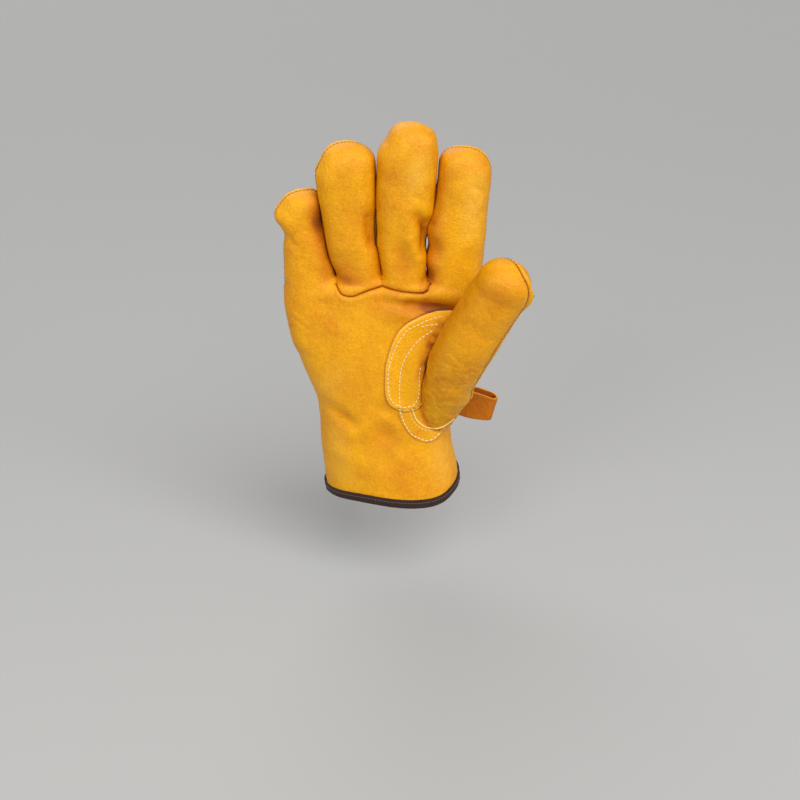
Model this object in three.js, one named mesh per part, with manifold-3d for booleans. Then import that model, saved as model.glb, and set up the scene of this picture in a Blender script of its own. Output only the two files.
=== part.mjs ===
// A right-hand leather work glove, modelled as it stands on a hand: palm to -Y, thumb to +X, fingertips to +Z.
// Lengths are millimetres. The origin is the centre of the cuff's opening, where the wrist goes in.
// The hand is a hollow leather shell, sewn from a palm, a back, two finger fronts, three finger gussets and a
// two-piece thumb. A bound slit at the back of the cuff is closed by a bound strap on a hook-and-loop pad.
import * as THREE from "three";
import { mergeVertices } from "three/addons/utils/BufferGeometryUtils.js";
import Module from "manifold-3d";

const wasm = await Module();
wasm.setup();

// Thicknesses of the materials, and the gap left in every seam.
const LEATHER = 1.5;
const PATCH = 1.2;
const TAPE = 1.0;
const PAD = 1.0;
const STRAP_LEATHER = 1.2;
const STRAP_TAPE = 0.55;
const SEAM_GAP = 0.3;

// The cuff's rim is a plane that climbs towards the thumb and towards the back of the hand.
const RIM = { height: 5.2, climbX: 0.055, climbY: 0.2 };
const TAPE_WIDTH = 5.5;
const SLIT_TAPE_WIDTH = 5.5;

// The gussets between the fingers: how far they reach from front to back, how far past the shorter finger's last row
// they rise, and how far inside the hand they start.
const GUSSET_WIDTH = 9;
const GUSSET_RISE = 3;
const GUSSET_ROOT = 10;

// Facets: points round a digit, points round the hand, rings along a digit and along the hand.
const DIGIT_SIDES = 14;
const HAND_SIDES = 40;
const DIGIT_RINGS = 5;
const CAP_RINGS = 3;

// The hand from below the rim to the web between the fingers. Each row is a level section: its height, its left and
// right edges, its palm face, its back face, how square it is, and how far its palm face leans towards the thumb.
const HAND = [
  { z: -24, left: -43.6, right: 44.0, front: -27.6, back: 26.5, power: 2.0, lean: 9 },
  { z: 0, left: -44.2, right: 43.4, front: -27.2, back: 26.0, power: 2.05, lean: 9 },
  { z: 18, left: -45.6, right: 41.0, front: -25.2, back: 24.4, power: 2.1, lean: 7 },
  { z: 34, left: -46.6, right: 37.6, front: -22.8, back: 21.8, power: 2.15, lean: 4 },
  { z: 50, left: -46.8, right: 36.6, front: -21.2, back: 19.8, power: 2.2, lean: 2 },
  { z: 66, left: -48.4, right: 39.6, front: -20.6, back: 19.0, power: 2.3, lean: 0 },
  { z: 80, left: -53.4, right: 44.4, front: -20.4, back: 18.7, power: 2.35, lean: 0 },
  { z: 96, left: -58.8, right: 49.2, front: -19.6, back: 18.4, power: 2.45, lean: 0 },
  { z: 114, left: -62.6, right: 52.6, front: -18.2, back: 17.8, power: 2.5, lean: 0 },
  { z: 130, left: -64.4, right: 53.2, front: -16.8, back: 17.0, power: 2.5, lean: 0 },
  { z: 139, left: -60.5, right: 50.0, front: -15.2, back: 15.0, power: 2.4, lean: 0 },
  { z: 145, left: -55.0, right: 43.0, front: -10.5, back: 10.5, power: 2.2, lean: 0 },
];

// Each digit runs from inside the hand to its tip. A row is the middle of a section, its half width and its half
// depth. The tip is a dome of the given height on the last row.
const DIGITS = {
  pinky: {
    tip: 14,
    rows: [
      { x: -46.5, y: 1.0, z: 108, wide: 14.0, deep: 13.0 },
      { x: -48.9, y: 1.0, z: 141, wide: 15.8, deep: 13.8 },
      { x: -51.0, y: 0.4, z: 158, wide: 13.2, deep: 13.2 },
      { x: -52.0, y: -0.6, z: 171, wide: 12.3, deep: 12.8 },
      { x: -54.3, y: -2.0, z: 183, wide: 13.3, deep: 12.2 },
    ],
  },
  ring: {
    tip: 18,
    rows: [
      { x: -18.8, y: 0.0, z: 108, wide: 12.6, deep: 13.6 },
      { x: -19.4, y: 0.0, z: 143, wide: 12.9, deep: 14.4 },
      { x: -22.6, y: -0.6, z: 160, wide: 14.4, deep: 14.4 },
      { x: -25.0, y: -1.8, z: 180, wide: 15.4, deep: 14.2 },
      { x: -26.6, y: -4.2, z: 207, wide: 17.0, deep: 13.6 },
    ],
  },
  middle: {
    tip: 19,
    rows: [
      { x: 7.0, y: -0.5, z: 108, wide: 12.4, deep: 14.0 },
      { x: 7.0, y: -0.5, z: 143, wide: 12.8, deep: 15.0 },
      { x: 6.2, y: -1.0, z: 160, wide: 14.0, deep: 15.0 },
      { x: 6.9, y: -2.2, z: 178, wide: 16.0, deep: 14.8 },
      { x: 8.5, y: -5.4, z: 217, wide: 17.2, deep: 14.0 },
    ],
  },
  index: {
    tip: 16.5,
    rows: [
      { x: 35.5, y: 0.0, z: 108, wide: 15.2, deep: 13.6 },
      { x: 36.6, y: 0.0, z: 145, wide: 16.0, deep: 14.6 },
      { x: 38.2, y: -0.6, z: 164, wide: 15.6, deep: 14.4 },
      { x: 39.0, y: -2.0, z: 182, wide: 15.4, deep: 14.0 },
      { x: 41.2, y: -4.2, z: 206, wide: 14.8, deep: 13.4 },
    ],
  },
  thumb: {
    tip: 16.5,
    rows: [
      { x: 27.8, y: -8.0, z: 58, wide: 11.5, deep: 12.5 },
      { x: 31.8, y: -17.0, z: 77, wide: 15.2, deep: 15.0 },
      { x: 37.0, y: -26.0, z: 98, wide: 15.6, deep: 16.0 },
      { x: 45.4, y: -34.0, z: 120, wide: 16.2, deep: 16.0 },
      { x: 56.0, y: -40.5, z: 143, wide: 15.8, deep: 14.6 },
      { x: 61.2, y: -43.0, z: 152.5, wide: 15.6, deep: 13.8 },
    ],
  },
};
const FINGERS = ["pinky", "ring", "middle", "index"];
const DIGIT_POWER = 2.3;

// Where the cuff's tape and strap end at the top, and how far down the hollow is cut.
const CUFF_TOP = 75;
const INSIDE_BOTTOM = -40;

// Y from and to, for outlines that are pushed through the palm or through the back of the hand.
const PALM_HALF = [-60, -4];
const FINGER_FRONTS = [-60, 20];
const BACK_HALF = [2, 60];

// The wrist is drawn in by elastic at the back: pleats run up and down across a band.
const GATHER = { z: 66, reach: 15, deep: 1.2, pleats: 5 };

// Outlines on the palm or the back, drawn as X and Z.
const PALM_PATCH = [
  [-3.6, 97], [-4.4, 84], [-2.2, 73], [4, 66.6], [11, 65.6], [17.5, 69], [19.6, 76],
  [21, 90], [30, 100], [38, 118], [38, 128], [26, 131], [14, 127.6], [5, 119], [-0.4, 108],
];
const KNUCKLE_PATCH = [
  [-53, 136], [44, 126], [38, 72], [-44, 79],
];
const RING_FRONT = [
  [-70, 260], [-70, 202], [-43.2, 197], [-41.1, 184], [-39.7, 171], [-37.3, 158], [-32.9, 143],
  [-30.6, 138.4], [-24, 137.4], [-14, 140.6], [-6.2, 143.4], [-8.0, 160], [-9.4, 178], [-9.2, 260],
];
const MIDDLE_FRONT = [
  [-8.9, 260], [-9.1, 178], [-7.7, 160], [-5.9, 143.2], [6, 140.4], [17, 139.2], [20.2, 141.0],
  [21.4, 160], [23.3, 178], [25.9, 207], [27.5, 260],
];
const SLIT = { x: -28.4, top: 62, bottom: -16, bottomHalf: 5.6, topHalf: 1.4 };
const STRAP = { root: -52, tip: 21, low: 17, high: 51, bound: 6.5, fromY: 13 };
const CLOSURE_PAD = { root: -12, tip: 24, low: 16.4, high: 51.6 };
const HANG_LOOP = { reach: 27, thick: 9, leather: 1.4, wide: 19, x: 39.5, y: 5, z: 60.5, droop: 0.16 };

// A closed geometry as a solid that can be joined and cut, and back again.
function solid(geometry) {
  const bare = new THREE.BufferGeometry();
  bare.setAttribute("position", geometry.getAttribute("position"));
  if (geometry.index) bare.setIndex(geometry.index);
  const merged = mergeVertices(bare, 1e-4);
  return new wasm.Manifold(
    new wasm.Mesh({
      numProp: 3,
      vertProperties: new Float32Array(merged.attributes.position.array),
      triVerts: new Uint32Array(merged.index.array),
    }),
  );
}

function geometryOf(manifold) {
  const mesh = manifold.getMesh();
  const geometry = new THREE.BufferGeometry();
  geometry.setAttribute("position", new THREE.BufferAttribute(new Float32Array(mesh.vertProperties), 3));
  geometry.setIndex(new THREE.BufferAttribute(new Uint32Array(mesh.triVerts), 1));
  geometry.computeVertexNormals();
  return geometry;
}

// A closed skin over rings of points, with a fan over each end.
function loft(rings) {
  const sides = rings[0].length;
  const points = rings.flat();
  const faces = [];
  for (let i = 0; i + 1 < rings.length; i++) {
    for (let j = 0; j < sides; j++) {
      const a = i * sides + j;
      const b = i * sides + ((j + 1) % sides);
      faces.push(a, b, b + sides, a, b + sides, a + sides);
    }
  }
  for (const [start, flip] of [[0, true], [(rings.length - 1) * sides, false]]) {
    const middle = new THREE.Vector3();
    for (let j = 0; j < sides; j++) middle.addScaledVector(points[start + j], 1 / sides);
    const centre = points.push(middle) - 1;
    for (let j = 0; j < sides; j++) {
      const a = start + j;
      const b = start + ((j + 1) % sides);
      faces.push(...(flip ? [b, a, centre] : [a, b, centre]));
    }
  }
  const geometry = new THREE.BufferGeometry().setFromPoints(points);
  geometry.setIndex(faces);
  return geometry;
}

// One number of a table of rows, read smoothly at any height or share between them.
function smoothRow(rows, key, at, names) {
  let i = 0;
  while (i + 2 < rows.length && rows[i + 1][key] < at) i++;
  const before = rows[Math.max(i - 1, 0)];
  const a = rows[i];
  const b = rows[i + 1];
  const after = rows[Math.min(i + 2, rows.length - 1)];
  const span = b[key] - a[key];
  const t = THREE.MathUtils.clamp((at - a[key]) / span, 0, 1);
  const out = {};
  for (const name of names) {
    const slopeA = (b[name] - before[name]) / (b[key] - before[key]);
    const slopeB = (after[name] - a[name]) / (after[key] - a[key]);
    const t2 = t * t;
    const t3 = t2 * t;
    out[name] =
      (2 * t3 - 3 * t2 + 1) * a[name] +
      (t3 - 2 * t2 + t) * span * slopeA +
      (3 * t2 - 2 * t3) * b[name] +
      (t3 - t2) * span * slopeB;
  }
  return out;
}

// A point of a squared ellipse with half axes 1 and 1.
function squaredCircle(angle, power) {
  const c = Math.cos(angle);
  const s = Math.sin(angle);
  const r = (Math.abs(c) ** power + Math.abs(s) ** power) ** (-1 / power);
  return [r * c, r * s];
}

// How far the back of the wrist is drawn in at an angle round the hand and a height.
function gatherDepth(angle, z) {
  const across = Math.sin(angle);
  if (across <= 0) return 0;
  const along = Math.exp(-(((z - GATHER.z) / GATHER.reach) ** 2));
  const pleat = 0.5 - 0.5 * Math.cos(2 * angle * GATHER.pleats);
  return GATHER.deep * along * pleat * Math.min(1, 2 * across);
}

// The hand's outer form, grown by a number of millimetres, or a level length of it.
const HAND_TOP = HAND[HAND.length - 1].z;

function hand(grow, bottom = HAND[0].z, top = HAND_TOP) {
  const between = HAND.map((row) => row.z).filter((z) => z > bottom && z < top);
  const heights = [bottom, ...between, top];
  const rings = heights.map((z) => {
    const row = smoothRow(HAND, "z", z, ["left", "right", "front", "back", "power", "lean"]);
    const middleX = (row.left + row.right) / 2;
    const wide = (row.right - row.left) / 2 + grow;
    const ring = [];
    for (let j = 0; j < HAND_SIDES; j++) {
      const angle = (2 * Math.PI * j) / HAND_SIDES;
      const [c, s] = squaredCircle(angle, row.power);
      const deep = (s > 0 ? row.back : -row.front) + grow - gatherDepth(angle, z);
      const lean = s < 0 ? row.lean * (-s) ** 1.5 : 0;
      ring.push(new THREE.Vector3(middleX + wide * c + lean, deep * s, z));
    }
    return ring;
  });
  if (top === HAND_TOP) for (const point of rings[rings.length - 1]) point.z += grow;
  return solid(loft(rings));
}

// A digit's form, grown by a number of millimetres: rings square to its axis, then a domed tip.
function digit(name, grow, roundRoot = false) {
  const { rows, tip } = DIGITS[name];
  const names = ["x", "y", "z", "wide", "deep"];
  const shares = rows.map((row, i) => ({ ...row, share: i / (rows.length - 1) }));
  const at = (share) => smoothRow(shares, "share", share, names);
  const point = (row) => new THREE.Vector3(row.x, row.y, row.z);
  const frame = (share) => {
    const step = 0.02;
    const low = point(at(Math.max(share - step, 0)));
    const high = point(at(Math.min(share + step, 1)));
    const along = high.sub(low).normalize();
    const across = new THREE.Vector3(along.z, 0, -along.x).normalize();
    return { along, across, outward: new THREE.Vector3().crossVectors(along, across) };
  };
  const ringAt = (share, ahead, shrink) => {
    const row = at(share);
    const { along, across, outward } = frame(share);
    const middle = point(row).addScaledVector(along, ahead);
    const ring = [];
    for (let j = 0; j < DIGIT_SIDES; j++) {
      const [c, s] = squaredCircle((2 * Math.PI * j) / DIGIT_SIDES, DIGIT_POWER);
      ring.push(
        middle
          .clone()
          .addScaledVector(across, (row.wide + grow) * shrink * c)
          .addScaledVector(outward, (row.deep + grow) * shrink * s),
      );
    }
    return ring;
  };
  const rings = [];
  if (roundRoot) {
    const root = rows[0].wide * 0.8;
    for (let i = CAP_RINGS; i >= 1; i--) {
      const turn = (i / (CAP_RINGS + 0.35)) * (Math.PI / 2);
      rings.push(ringAt(0, -(root + grow) * Math.sin(turn), Math.cos(turn)));
    }
  }
  for (let i = 0; i <= DIGIT_RINGS; i++) rings.push(ringAt(i / DIGIT_RINGS, 0, 1));
  for (let i = 1; i <= CAP_RINGS; i++) {
    const turn = (i / (CAP_RINGS + 0.35)) * (Math.PI / 2);
    rings.push(ringAt(1, (tip + grow) * Math.sin(turn), Math.cos(turn) ** 0.7));
  }
  return solid(loft(rings));
}

// An outline in X and Z, pushed through from one Y to another.
function prism(outline, fromY, toY) {
  const shape = new THREE.Shape(outline.map(([x, z]) => new THREE.Vector2(x, z)));
  const geometry = new THREE.ExtrudeGeometry(shape, { depth: toY - fromY, bevelEnabled: false, steps: 1 });
  geometry.rotateX(Math.PI / 2);
  geometry.translate(0, toY, 0);
  return solid(geometry);
}

function grown(outline, by) {
  const middle = new THREE.Vector2();
  const turn = THREE.ShapeUtils.isClockWise(outline.map(([x, z]) => new THREE.Vector2(x, z))) ? -1 : 1;
  return outline.map(([x, z], i) => {
    const before = outline[(i + outline.length - 1) % outline.length];
    const after = outline[(i + 1) % outline.length];
    const a = new THREE.Vector2(x - before[0], z - before[1]).normalize();
    const b = new THREE.Vector2(after[0] - x, after[1] - z).normalize();
    middle.set(a.y + b.y, -a.x - b.x).multiplyScalar(turn);
    const stretch = by / Math.max(0.4, 0.5 * middle.length());
    middle.normalize().multiplyScalar(stretch);
    return [x + middle.x, z + middle.y];
  });
}

// Everything below the rim's plane, raised by a number of millimetres.
function belowRim(raise) {
  const size = 240;
  const box = new THREE.BoxGeometry(size, size, size);
  box.translate(0, 0, -size / 2);
  const up = new THREE.Vector3(-RIM.climbX, -RIM.climbY, 1).normalize();
  box.applyQuaternion(new THREE.Quaternion().setFromUnitVectors(new THREE.Vector3(0, 0, 1), up));
  box.translate(0, 0, RIM.height + raise);
  return solid(box);
}

// The Y of the seam between the palm side and the back side, which follows the fingers forward.
const SEAM_LINE = [[-90, -1], [60, -2.2], [120, -2.6], [150, -3.2], [180, -5.4], [215, -8.6], [260, -12]];

// Everything on the palm side of that seam, moved back by a number of millimetres.
function palmSide(back) {
  const far = 140;
  const shape = new THREE.Shape([
    new THREE.Vector2(-far, SEAM_LINE[0][0]),
    ...SEAM_LINE.map(([z, y]) => new THREE.Vector2(y + back, z)),
    new THREE.Vector2(-far, SEAM_LINE[SEAM_LINE.length - 1][0]),
  ]);
  const geometry = new THREE.ExtrudeGeometry(shape, { depth: 2 * far, bevelEnabled: false, steps: 1 });
  geometry.translate(0, 0, -far);
  // The shape's X is the glove's Y, its Y is the glove's Z, and its depth runs along the glove's X.
  geometry.applyMatrix4(new THREE.Matrix4().set(0, 0, 1, 0, 1, 0, 0, 0, 0, 1, 0, 0, 0, 0, 0, 1));
  return solid(geometry);
}

function union(solids) {
  return solids.reduce((all, one) => all.add(one));
}

// The hand with its four fingers, grown by a number of millimetres.
function handAndFingers(grow, bottom) {
  return union([hand(grow, bottom), ...FINGERS.map((name) => digit(name, grow))]);
}

const outside = handAndFingers(0);
const inside = handAndFingers(-LEATHER, INSIDE_BOTTOM);
const thumb = (grow) => digit("thumb", grow, true);
const clearOfHand = handAndFingers(SEAM_GAP);
const clearOfThumb = thumb(SEAM_GAP);
const thumbInside = thumb(-LEATHER);
const shell = outside.subtract(inside).subtract(belowRim(TAPE));

// The slit at the back of the cuff, as a narrow V with a round top.
function slit(grow) {
  const { x, top, bottom, bottomHalf, topHalf } = SLIT;
  const outline = [[x - bottomHalf - grow, bottom]];
  const turns = 6;
  for (let i = 0; i <= turns; i++) {
    const turn = Math.PI * (1 - i / turns);
    outline.push([x + (topHalf + grow) * Math.cos(turn), top + (topHalf + grow) * Math.sin(turn)]);
  }
  outline.push([x + bottomHalf + grow, bottom]);
  return prism(outline, ...BACK_HALF);
}

// The outline of a strap with a round tip, drawn in by a number of millimetres. Its root stays square.
function strapOutline({ root, tip, low, high }, inset) {
  const middle = (low + high) / 2;
  const radius = (high - low) / 2 - inset;
  const turns = 8;
  const outline = [[root, middle - radius]];
  for (let i = 0; i <= turns; i++) {
    const turn = Math.PI * (i / turns - 0.5);
    outline.push([tip - inset - radius * (1 - Math.cos(turn)), middle + radius * Math.sin(turn)]);
  }
  outline.push([root, middle + radius]);
  return outline;
}

// A layer that lies on the hand, between two distances from the leather, inside a prism.
function layer(from, to, form, bottom, top) {
  return hand(to, bottom, top).subtract(hand(from, bottom, top)).intersect(form);
}

// The gussets between neighbouring fingers: the strip behind the front seam, down one finger and up the next. Their
// outline follows the middle lines of the two fingers up from inside the hand.
function gussetForm(left, right, grow) {
  const tops = [left, right].map((name) => DIGITS[name].rows.at(-1).z);
  const top = Math.min(...tops) + GUSSET_RISE + grow;
  const side = (name, shift) =>
    DIGITS[name].rows
      .filter((row) => row.z > HAND_TOP - GUSSET_ROOT)
      .map((row, i) => [row.x + shift, i === 0 ? row.z - grow : Math.min(row.z, top)]);
  const leftSide = side(left, -grow);
  const rightSide = side(right, grow).reverse();
  const across = [[leftSide.at(-1)[0], top], [rightSide[0][0], top]];
  const outline = [...leftSide, ...across, ...rightSide].filter(
    ([x, z], i, all) => i === 0 || x !== all[i - 1][0] || z !== all[i - 1][1],
  );
  const form = prism(outline, -60, 60);
  return form.intersect(palmSide(GUSSET_WIDTH + grow)).subtract(palmSide(-grow));
}

const pairs = [["pinky", "ring"], ["ring", "middle"], ["middle", "index"]];
const gussets = pairs.map(([left, right]) => shell.intersect(gussetForm(left, right, 0)));
const gussetSpace = union(pairs.map(([left, right]) => gussetForm(left, right, SEAM_GAP)));

const frontShell = shell.intersect(palmSide(-SEAM_GAP)).subtract(gussetSpace);
const ringFront = frontShell.intersect(prism(RING_FRONT, ...FINGER_FRONTS));
const middleFront = frontShell.intersect(prism(MIDDLE_FRONT, ...FINGER_FRONTS));
const palm = frontShell
  .subtract(prism(grown(RING_FRONT, SEAM_GAP), ...FINGER_FRONTS))
  .subtract(prism(grown(MIDDLE_FRONT, SEAM_GAP), ...FINGER_FRONTS))
  .subtract(thumbInside);
const back = shell.subtract(palmSide(0)).subtract(gussetSpace).subtract(slit(TAPE));

// The thumb is sewn over a hole in the palm. Its own seam runs up both sides, nearer the palm at the outer edge.
const THUMB_SEAM_ROLL = -0.3;

function thumbFrontSide(back) {
  const rows = DIGITS.thumb.rows;
  const root = new THREE.Vector3(rows[0].x, rows[0].y, rows[0].z);
  const end = rows[rows.length - 1];
  const along = new THREE.Vector3(end.x, end.y, end.z).sub(root).normalize();
  const across = new THREE.Vector3(along.z, 0, -along.x).normalize();
  const outward = new THREE.Vector3().crossVectors(along, across);
  const roll = new THREE.Quaternion().setFromAxisAngle(along, THUMB_SEAM_ROLL);
  across.applyQuaternion(roll);
  outward.applyQuaternion(roll);
  const reach = 220;
  const box = new THREE.BoxGeometry(2 * reach, reach, 2 * reach);
  box.translate(0, -reach / 2 + back, 0);
  box.applyMatrix4(new THREE.Matrix4().makeBasis(across, outward, along).setPosition(root));
  return solid(box);
}

const thumbShell = thumb(0).subtract(thumbInside).subtract(clearOfHand);
const largestBody = (form) => form.decompose().sort((a, b) => b.volume() - a.volume())[0];
const thumbFront = largestBody(thumbShell.intersect(thumbFrontSide(-SEAM_GAP)));
const thumbBack = largestBody(thumbShell.subtract(thumbFrontSide(0)));

const patch = (form) => layer(SEAM_GAP, SEAM_GAP + PATCH, form).subtract(clearOfHand);
const palmPatch = patch(prism(PALM_PATCH, ...PALM_HALF)).subtract(clearOfThumb);
const knucklePatch = patch(prism(KNUCKLE_PATCH, ...BACK_HALF));

// The tape is folded over the rim and over both edges of the slit.
const cuff = (grow) => hand(grow, HAND[0].z, CUFF_TOP);
const tapeShell = cuff(SEAM_GAP + TAPE).subtract(cuff(-LEATHER - SEAM_GAP - TAPE));
const tapeGroove = cuff(SEAM_GAP)
  .subtract(cuff(-LEATHER - SEAM_GAP))
  .subtract(belowRim(TAPE - SEAM_GAP))
  .subtract(slit(TAPE - SEAM_GAP));
const cuffBinding = tapeShell
  .intersect(belowRim(TAPE_WIDTH).add(slit(SLIT_TAPE_WIDTH)))
  .subtract(belowRim(-SEAM_GAP))
  .subtract(slit(0))
  .subtract(tapeGroove);

// The strap crosses the slit, clear of the tape, and its round tip lies on the pad.
const strapBottom = 2 * SEAM_GAP + TAPE;
const strapLeather = strapBottom + STRAP_TAPE + SEAM_GAP;
const strapTop = strapLeather + STRAP_LEATHER + SEAM_GAP + STRAP_TAPE;
const strapForm = (inset) => prism(strapOutline(STRAP, inset), STRAP.fromY, BACK_HALF[1]);
const wristLayer = (from, to, form) => layer(from, to, form, HAND[0].z, CUFF_TOP);
const strap = wristLayer(strapLeather, strapLeather + STRAP_LEATHER, strapForm(0.8));
const strapBinding = wristLayer(strapBottom, strapTop, strapForm(0))
  .subtract(strapForm(STRAP.bound))
  .subtract(wristLayer(strapLeather - SEAM_GAP, strapTop - STRAP_TAPE, strapForm(0.5)));
const pad = wristLayer(SEAM_GAP, SEAM_GAP + PAD, prism(strapOutline(CLOSURE_PAD, 0), ...BACK_HALF));

// A strip folded on itself, sewn to the thumb side of the wrist, open above and below.
function hangLoop() {
  const { reach, thick, leather, wide, x, y, z, droop } = HANG_LOOP;
  const track = (inset, root) => {
    const radius = thick / 2 - inset;
    const points = [[root, -radius]];
    const turns = 8;
    for (let i = 0; i <= turns; i++) {
      const turn = Math.PI * (i / turns - 0.5);
      points.push([reach - thick / 2 + radius * Math.cos(turn), radius * Math.sin(turn)]);
    }
    points.push([root, radius]);
    return points.map(([u, v]) => new THREE.Vector2(u, v));
  };
  const extrude = (points, height) => {
    const geometry = new THREE.ExtrudeGeometry(new THREE.Shape(points), { depth: height, bevelEnabled: false });
    geometry.translate(0, 0, -height / 2);
    geometry.rotateY(droop);
    geometry.translate(x, y, z);
    return solid(geometry);
  };
  return extrude(track(0, -8), wide)
    .subtract(extrude(track(leather, -12), wide + 8))
    .subtract(clearOfHand)
    .subtract(clearOfThumb);
}

const FINISH = {
  leather: { color: 0xe39a1e, roughness: 0.62, metalness: 0 },
  suede: { color: 0xdb8f1a, roughness: 0.85, metalness: 0 },
  tape: { color: 0x3b2823, roughness: 0.8, metalness: 0 },
  pad: { color: 0xf0efe8, roughness: 0.9, metalness: 0 },
};

const glove = new THREE.Group();

function add(name, manifold, finish) {
  const mesh = new THREE.Mesh(geometryOf(manifold), new THREE.MeshStandardMaterial(FINISH[finish]));
  mesh.name = name;
  glove.add(mesh);
}

add("palm_leather", palm, "leather");
add("back_leather", back, "leather");
add("ring_front", ringFront, "leather");
add("middle_front", middleFront, "leather");
pairs.forEach(([left, right], i) => add(`gusset_${left}_${right}`, gussets[i], "leather"));
add("thumb_front", thumbFront, "leather");
add("thumb_back", thumbBack, "leather");
add("palm_patch", largestBody(palmPatch), "suede");
add("knuckle_patch", knucklePatch, "suede");
add("cuff_binding", cuffBinding, "tape");
add("wrist_strap", strap, "suede");
add("strap_binding", strapBinding, "tape");
add("closure_pad", pad, "pad");
add("hang_loop", largestBody(hangLoop()), "suede");

// The tables put the rim at its own height, and the origin is the middle of the rim.
glove.position.z = -RIM.height;

export default glove;
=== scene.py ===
"""A right-hand leather work glove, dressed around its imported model: palm to -Y, thumb to +X, fingertips to +Z.

The leather is meshed from the same tables as the solids, in millimetres, then cut into its panels along the seams,
folded, and given its thickness. Tape, strap, patches, loop and stitches are laid on it.
"""

import math

import bpy
import numpy as np
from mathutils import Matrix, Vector
from mathutils.bvhtree import BVHTree


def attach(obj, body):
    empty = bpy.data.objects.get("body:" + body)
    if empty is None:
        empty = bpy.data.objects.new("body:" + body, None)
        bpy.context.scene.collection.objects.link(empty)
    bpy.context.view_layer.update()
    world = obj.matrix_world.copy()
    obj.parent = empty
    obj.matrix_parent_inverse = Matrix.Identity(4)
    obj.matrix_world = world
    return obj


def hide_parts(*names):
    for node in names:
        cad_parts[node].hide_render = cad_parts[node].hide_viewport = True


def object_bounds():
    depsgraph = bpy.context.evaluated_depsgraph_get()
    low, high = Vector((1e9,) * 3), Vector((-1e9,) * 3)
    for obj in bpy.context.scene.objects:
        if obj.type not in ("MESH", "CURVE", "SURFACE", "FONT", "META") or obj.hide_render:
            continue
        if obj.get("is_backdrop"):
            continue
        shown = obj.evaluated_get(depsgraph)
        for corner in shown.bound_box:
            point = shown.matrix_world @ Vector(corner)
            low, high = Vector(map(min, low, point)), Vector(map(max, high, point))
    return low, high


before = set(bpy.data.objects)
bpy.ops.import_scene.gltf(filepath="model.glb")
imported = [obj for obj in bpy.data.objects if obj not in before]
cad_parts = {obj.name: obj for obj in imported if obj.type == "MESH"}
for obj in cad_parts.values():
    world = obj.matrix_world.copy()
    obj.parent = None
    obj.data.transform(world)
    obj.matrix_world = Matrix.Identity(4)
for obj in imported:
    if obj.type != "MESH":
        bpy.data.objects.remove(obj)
cad_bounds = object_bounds()

MM = 0.001
LEATHER = 1.5
RIM_HEIGHT = 5.2
RIM_CLIMB = np.array([0.055, 0.2])
# Cell size of the meshed skin, how near to a cut a point moves onto it, and how many rows a wall's edge has.
STEP = 1.2
SNAP = 0.12
WALL_ROWS = 3
# A distance that no cut reaches.
FAR = 30.0
# Corners of the boxes that are meshed.
HAND_BOX = ((-82, -31, -9), (74, 30, 240))
THUMB_BOX = ((10, -66, 42), (86, 8, 178))
STRAP_BOX = ((-62, 6, 8), (34, 34, 60))

# Level sections of the hand: height, left, right, palm face, back face, squareness, lean of the palm face.
HAND = np.array([
    [-24, -43.6, 44, -27.6, 26.5, 2, 9], [0, -44.2, 43.4, -27.2, 26, 2.05, 9], [18, -45.6, 41, -25.2, 24.4, 2.1, 7],
    [34, -46.6, 37.6, -22.8, 21.8, 2.15, 4], [50, -46.8, 36.6, -21.2, 19.8, 2.2, 2],
    [66, -48.4, 39.6, -20.6, 19, 2.3, 0], [80, -53.4, 44.4, -20.4, 18.7, 2.35, 0],
    [96, -58.8, 49.2, -19.6, 18.4, 2.45, 0], [114, -62.6, 52.6, -18.2, 17.8, 2.5, 0],
    [130, -64.4, 53.2, -16.8, 17, 2.5, 0], [139, -60.5, 50, -15.2, 15, 2.4, 0], [145, -55, 43, -10.5, 10.5, 2.2, 0],
], float)
HAND_DOME = 134
HAND_DOME_HIGH = 12

# Digits from inside the hand to the tip: x, y, z, half width, half depth.
DIGITS = {
    "pinky": (14, [
        [-46.5, 1, 108, 14, 13], [-48.9, 1, 141, 15.8, 13.8], [-51, 0.4, 158, 13.2, 13.2],
        [-52, -0.6, 171, 12.3, 12.8], [-54.3, -2, 183, 13.3, 12.2],
    ]),
    "ring": (18, [
        [-18.8, 0, 108, 12.6, 13.6], [-19.4, 0, 143, 12.9, 14.4], [-22.6, -0.6, 160, 14.4, 14.4],
        [-25, -1.8, 180, 15.4, 14.2], [-26.6, -4.2, 207, 17, 13.6],
    ]),
    "middle": (19, [
        [7, -0.5, 108, 12.4, 14], [7, -0.5, 143, 12.8, 15], [6.2, -1, 160, 14, 15], [6.9, -2.2, 178, 16, 14.8],
        [8.5, -5.4, 217, 17.2, 14],
    ]),
    "index": (16.5, [
        [35.5, 0, 108, 15.2, 13.6], [36.6, 0, 145, 16, 14.6], [38.2, -0.6, 164, 15.6, 14.4],
        [39, -2, 182, 15.4, 14], [41.2, -4.2, 206, 14.8, 13.4],
    ]),
    "thumb": (16.5, [
        [27.8, -8, 58, 11.5, 12.5], [31.8, -17, 77, 15.2, 15], [37, -26, 98, 15.6, 16], [45.4, -34, 120, 16.2, 16],
        [56, -40.5, 143, 15.8, 14.6], [61.2, -43, 152.5, 15.6, 13.8],
    ]),
}
FINGERS = ["pinky", "ring", "middle", "index"]
DIGIT_POWER = 2.35
DIGIT_FLATNESS = 2.75
BLEND = 4

# While they are meshed, the fingers stand this much further apart than they do in the glove.
SPREAD = {"pinky": -9, "ring": -3, "middle": 3, "index": 9}
SPREAD_FROM = 137
SPREAD_OVER = 13

# Y of the seam between the palm side and the back side, against Z, and the gussets behind it.
SEAM = np.array([[-90, -1], [60, -2.2], [120, -2.6], [150, -3.2], [180, -5.4], [215, -8.6], [260, -12]], float)
GUSSET = 9
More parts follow.
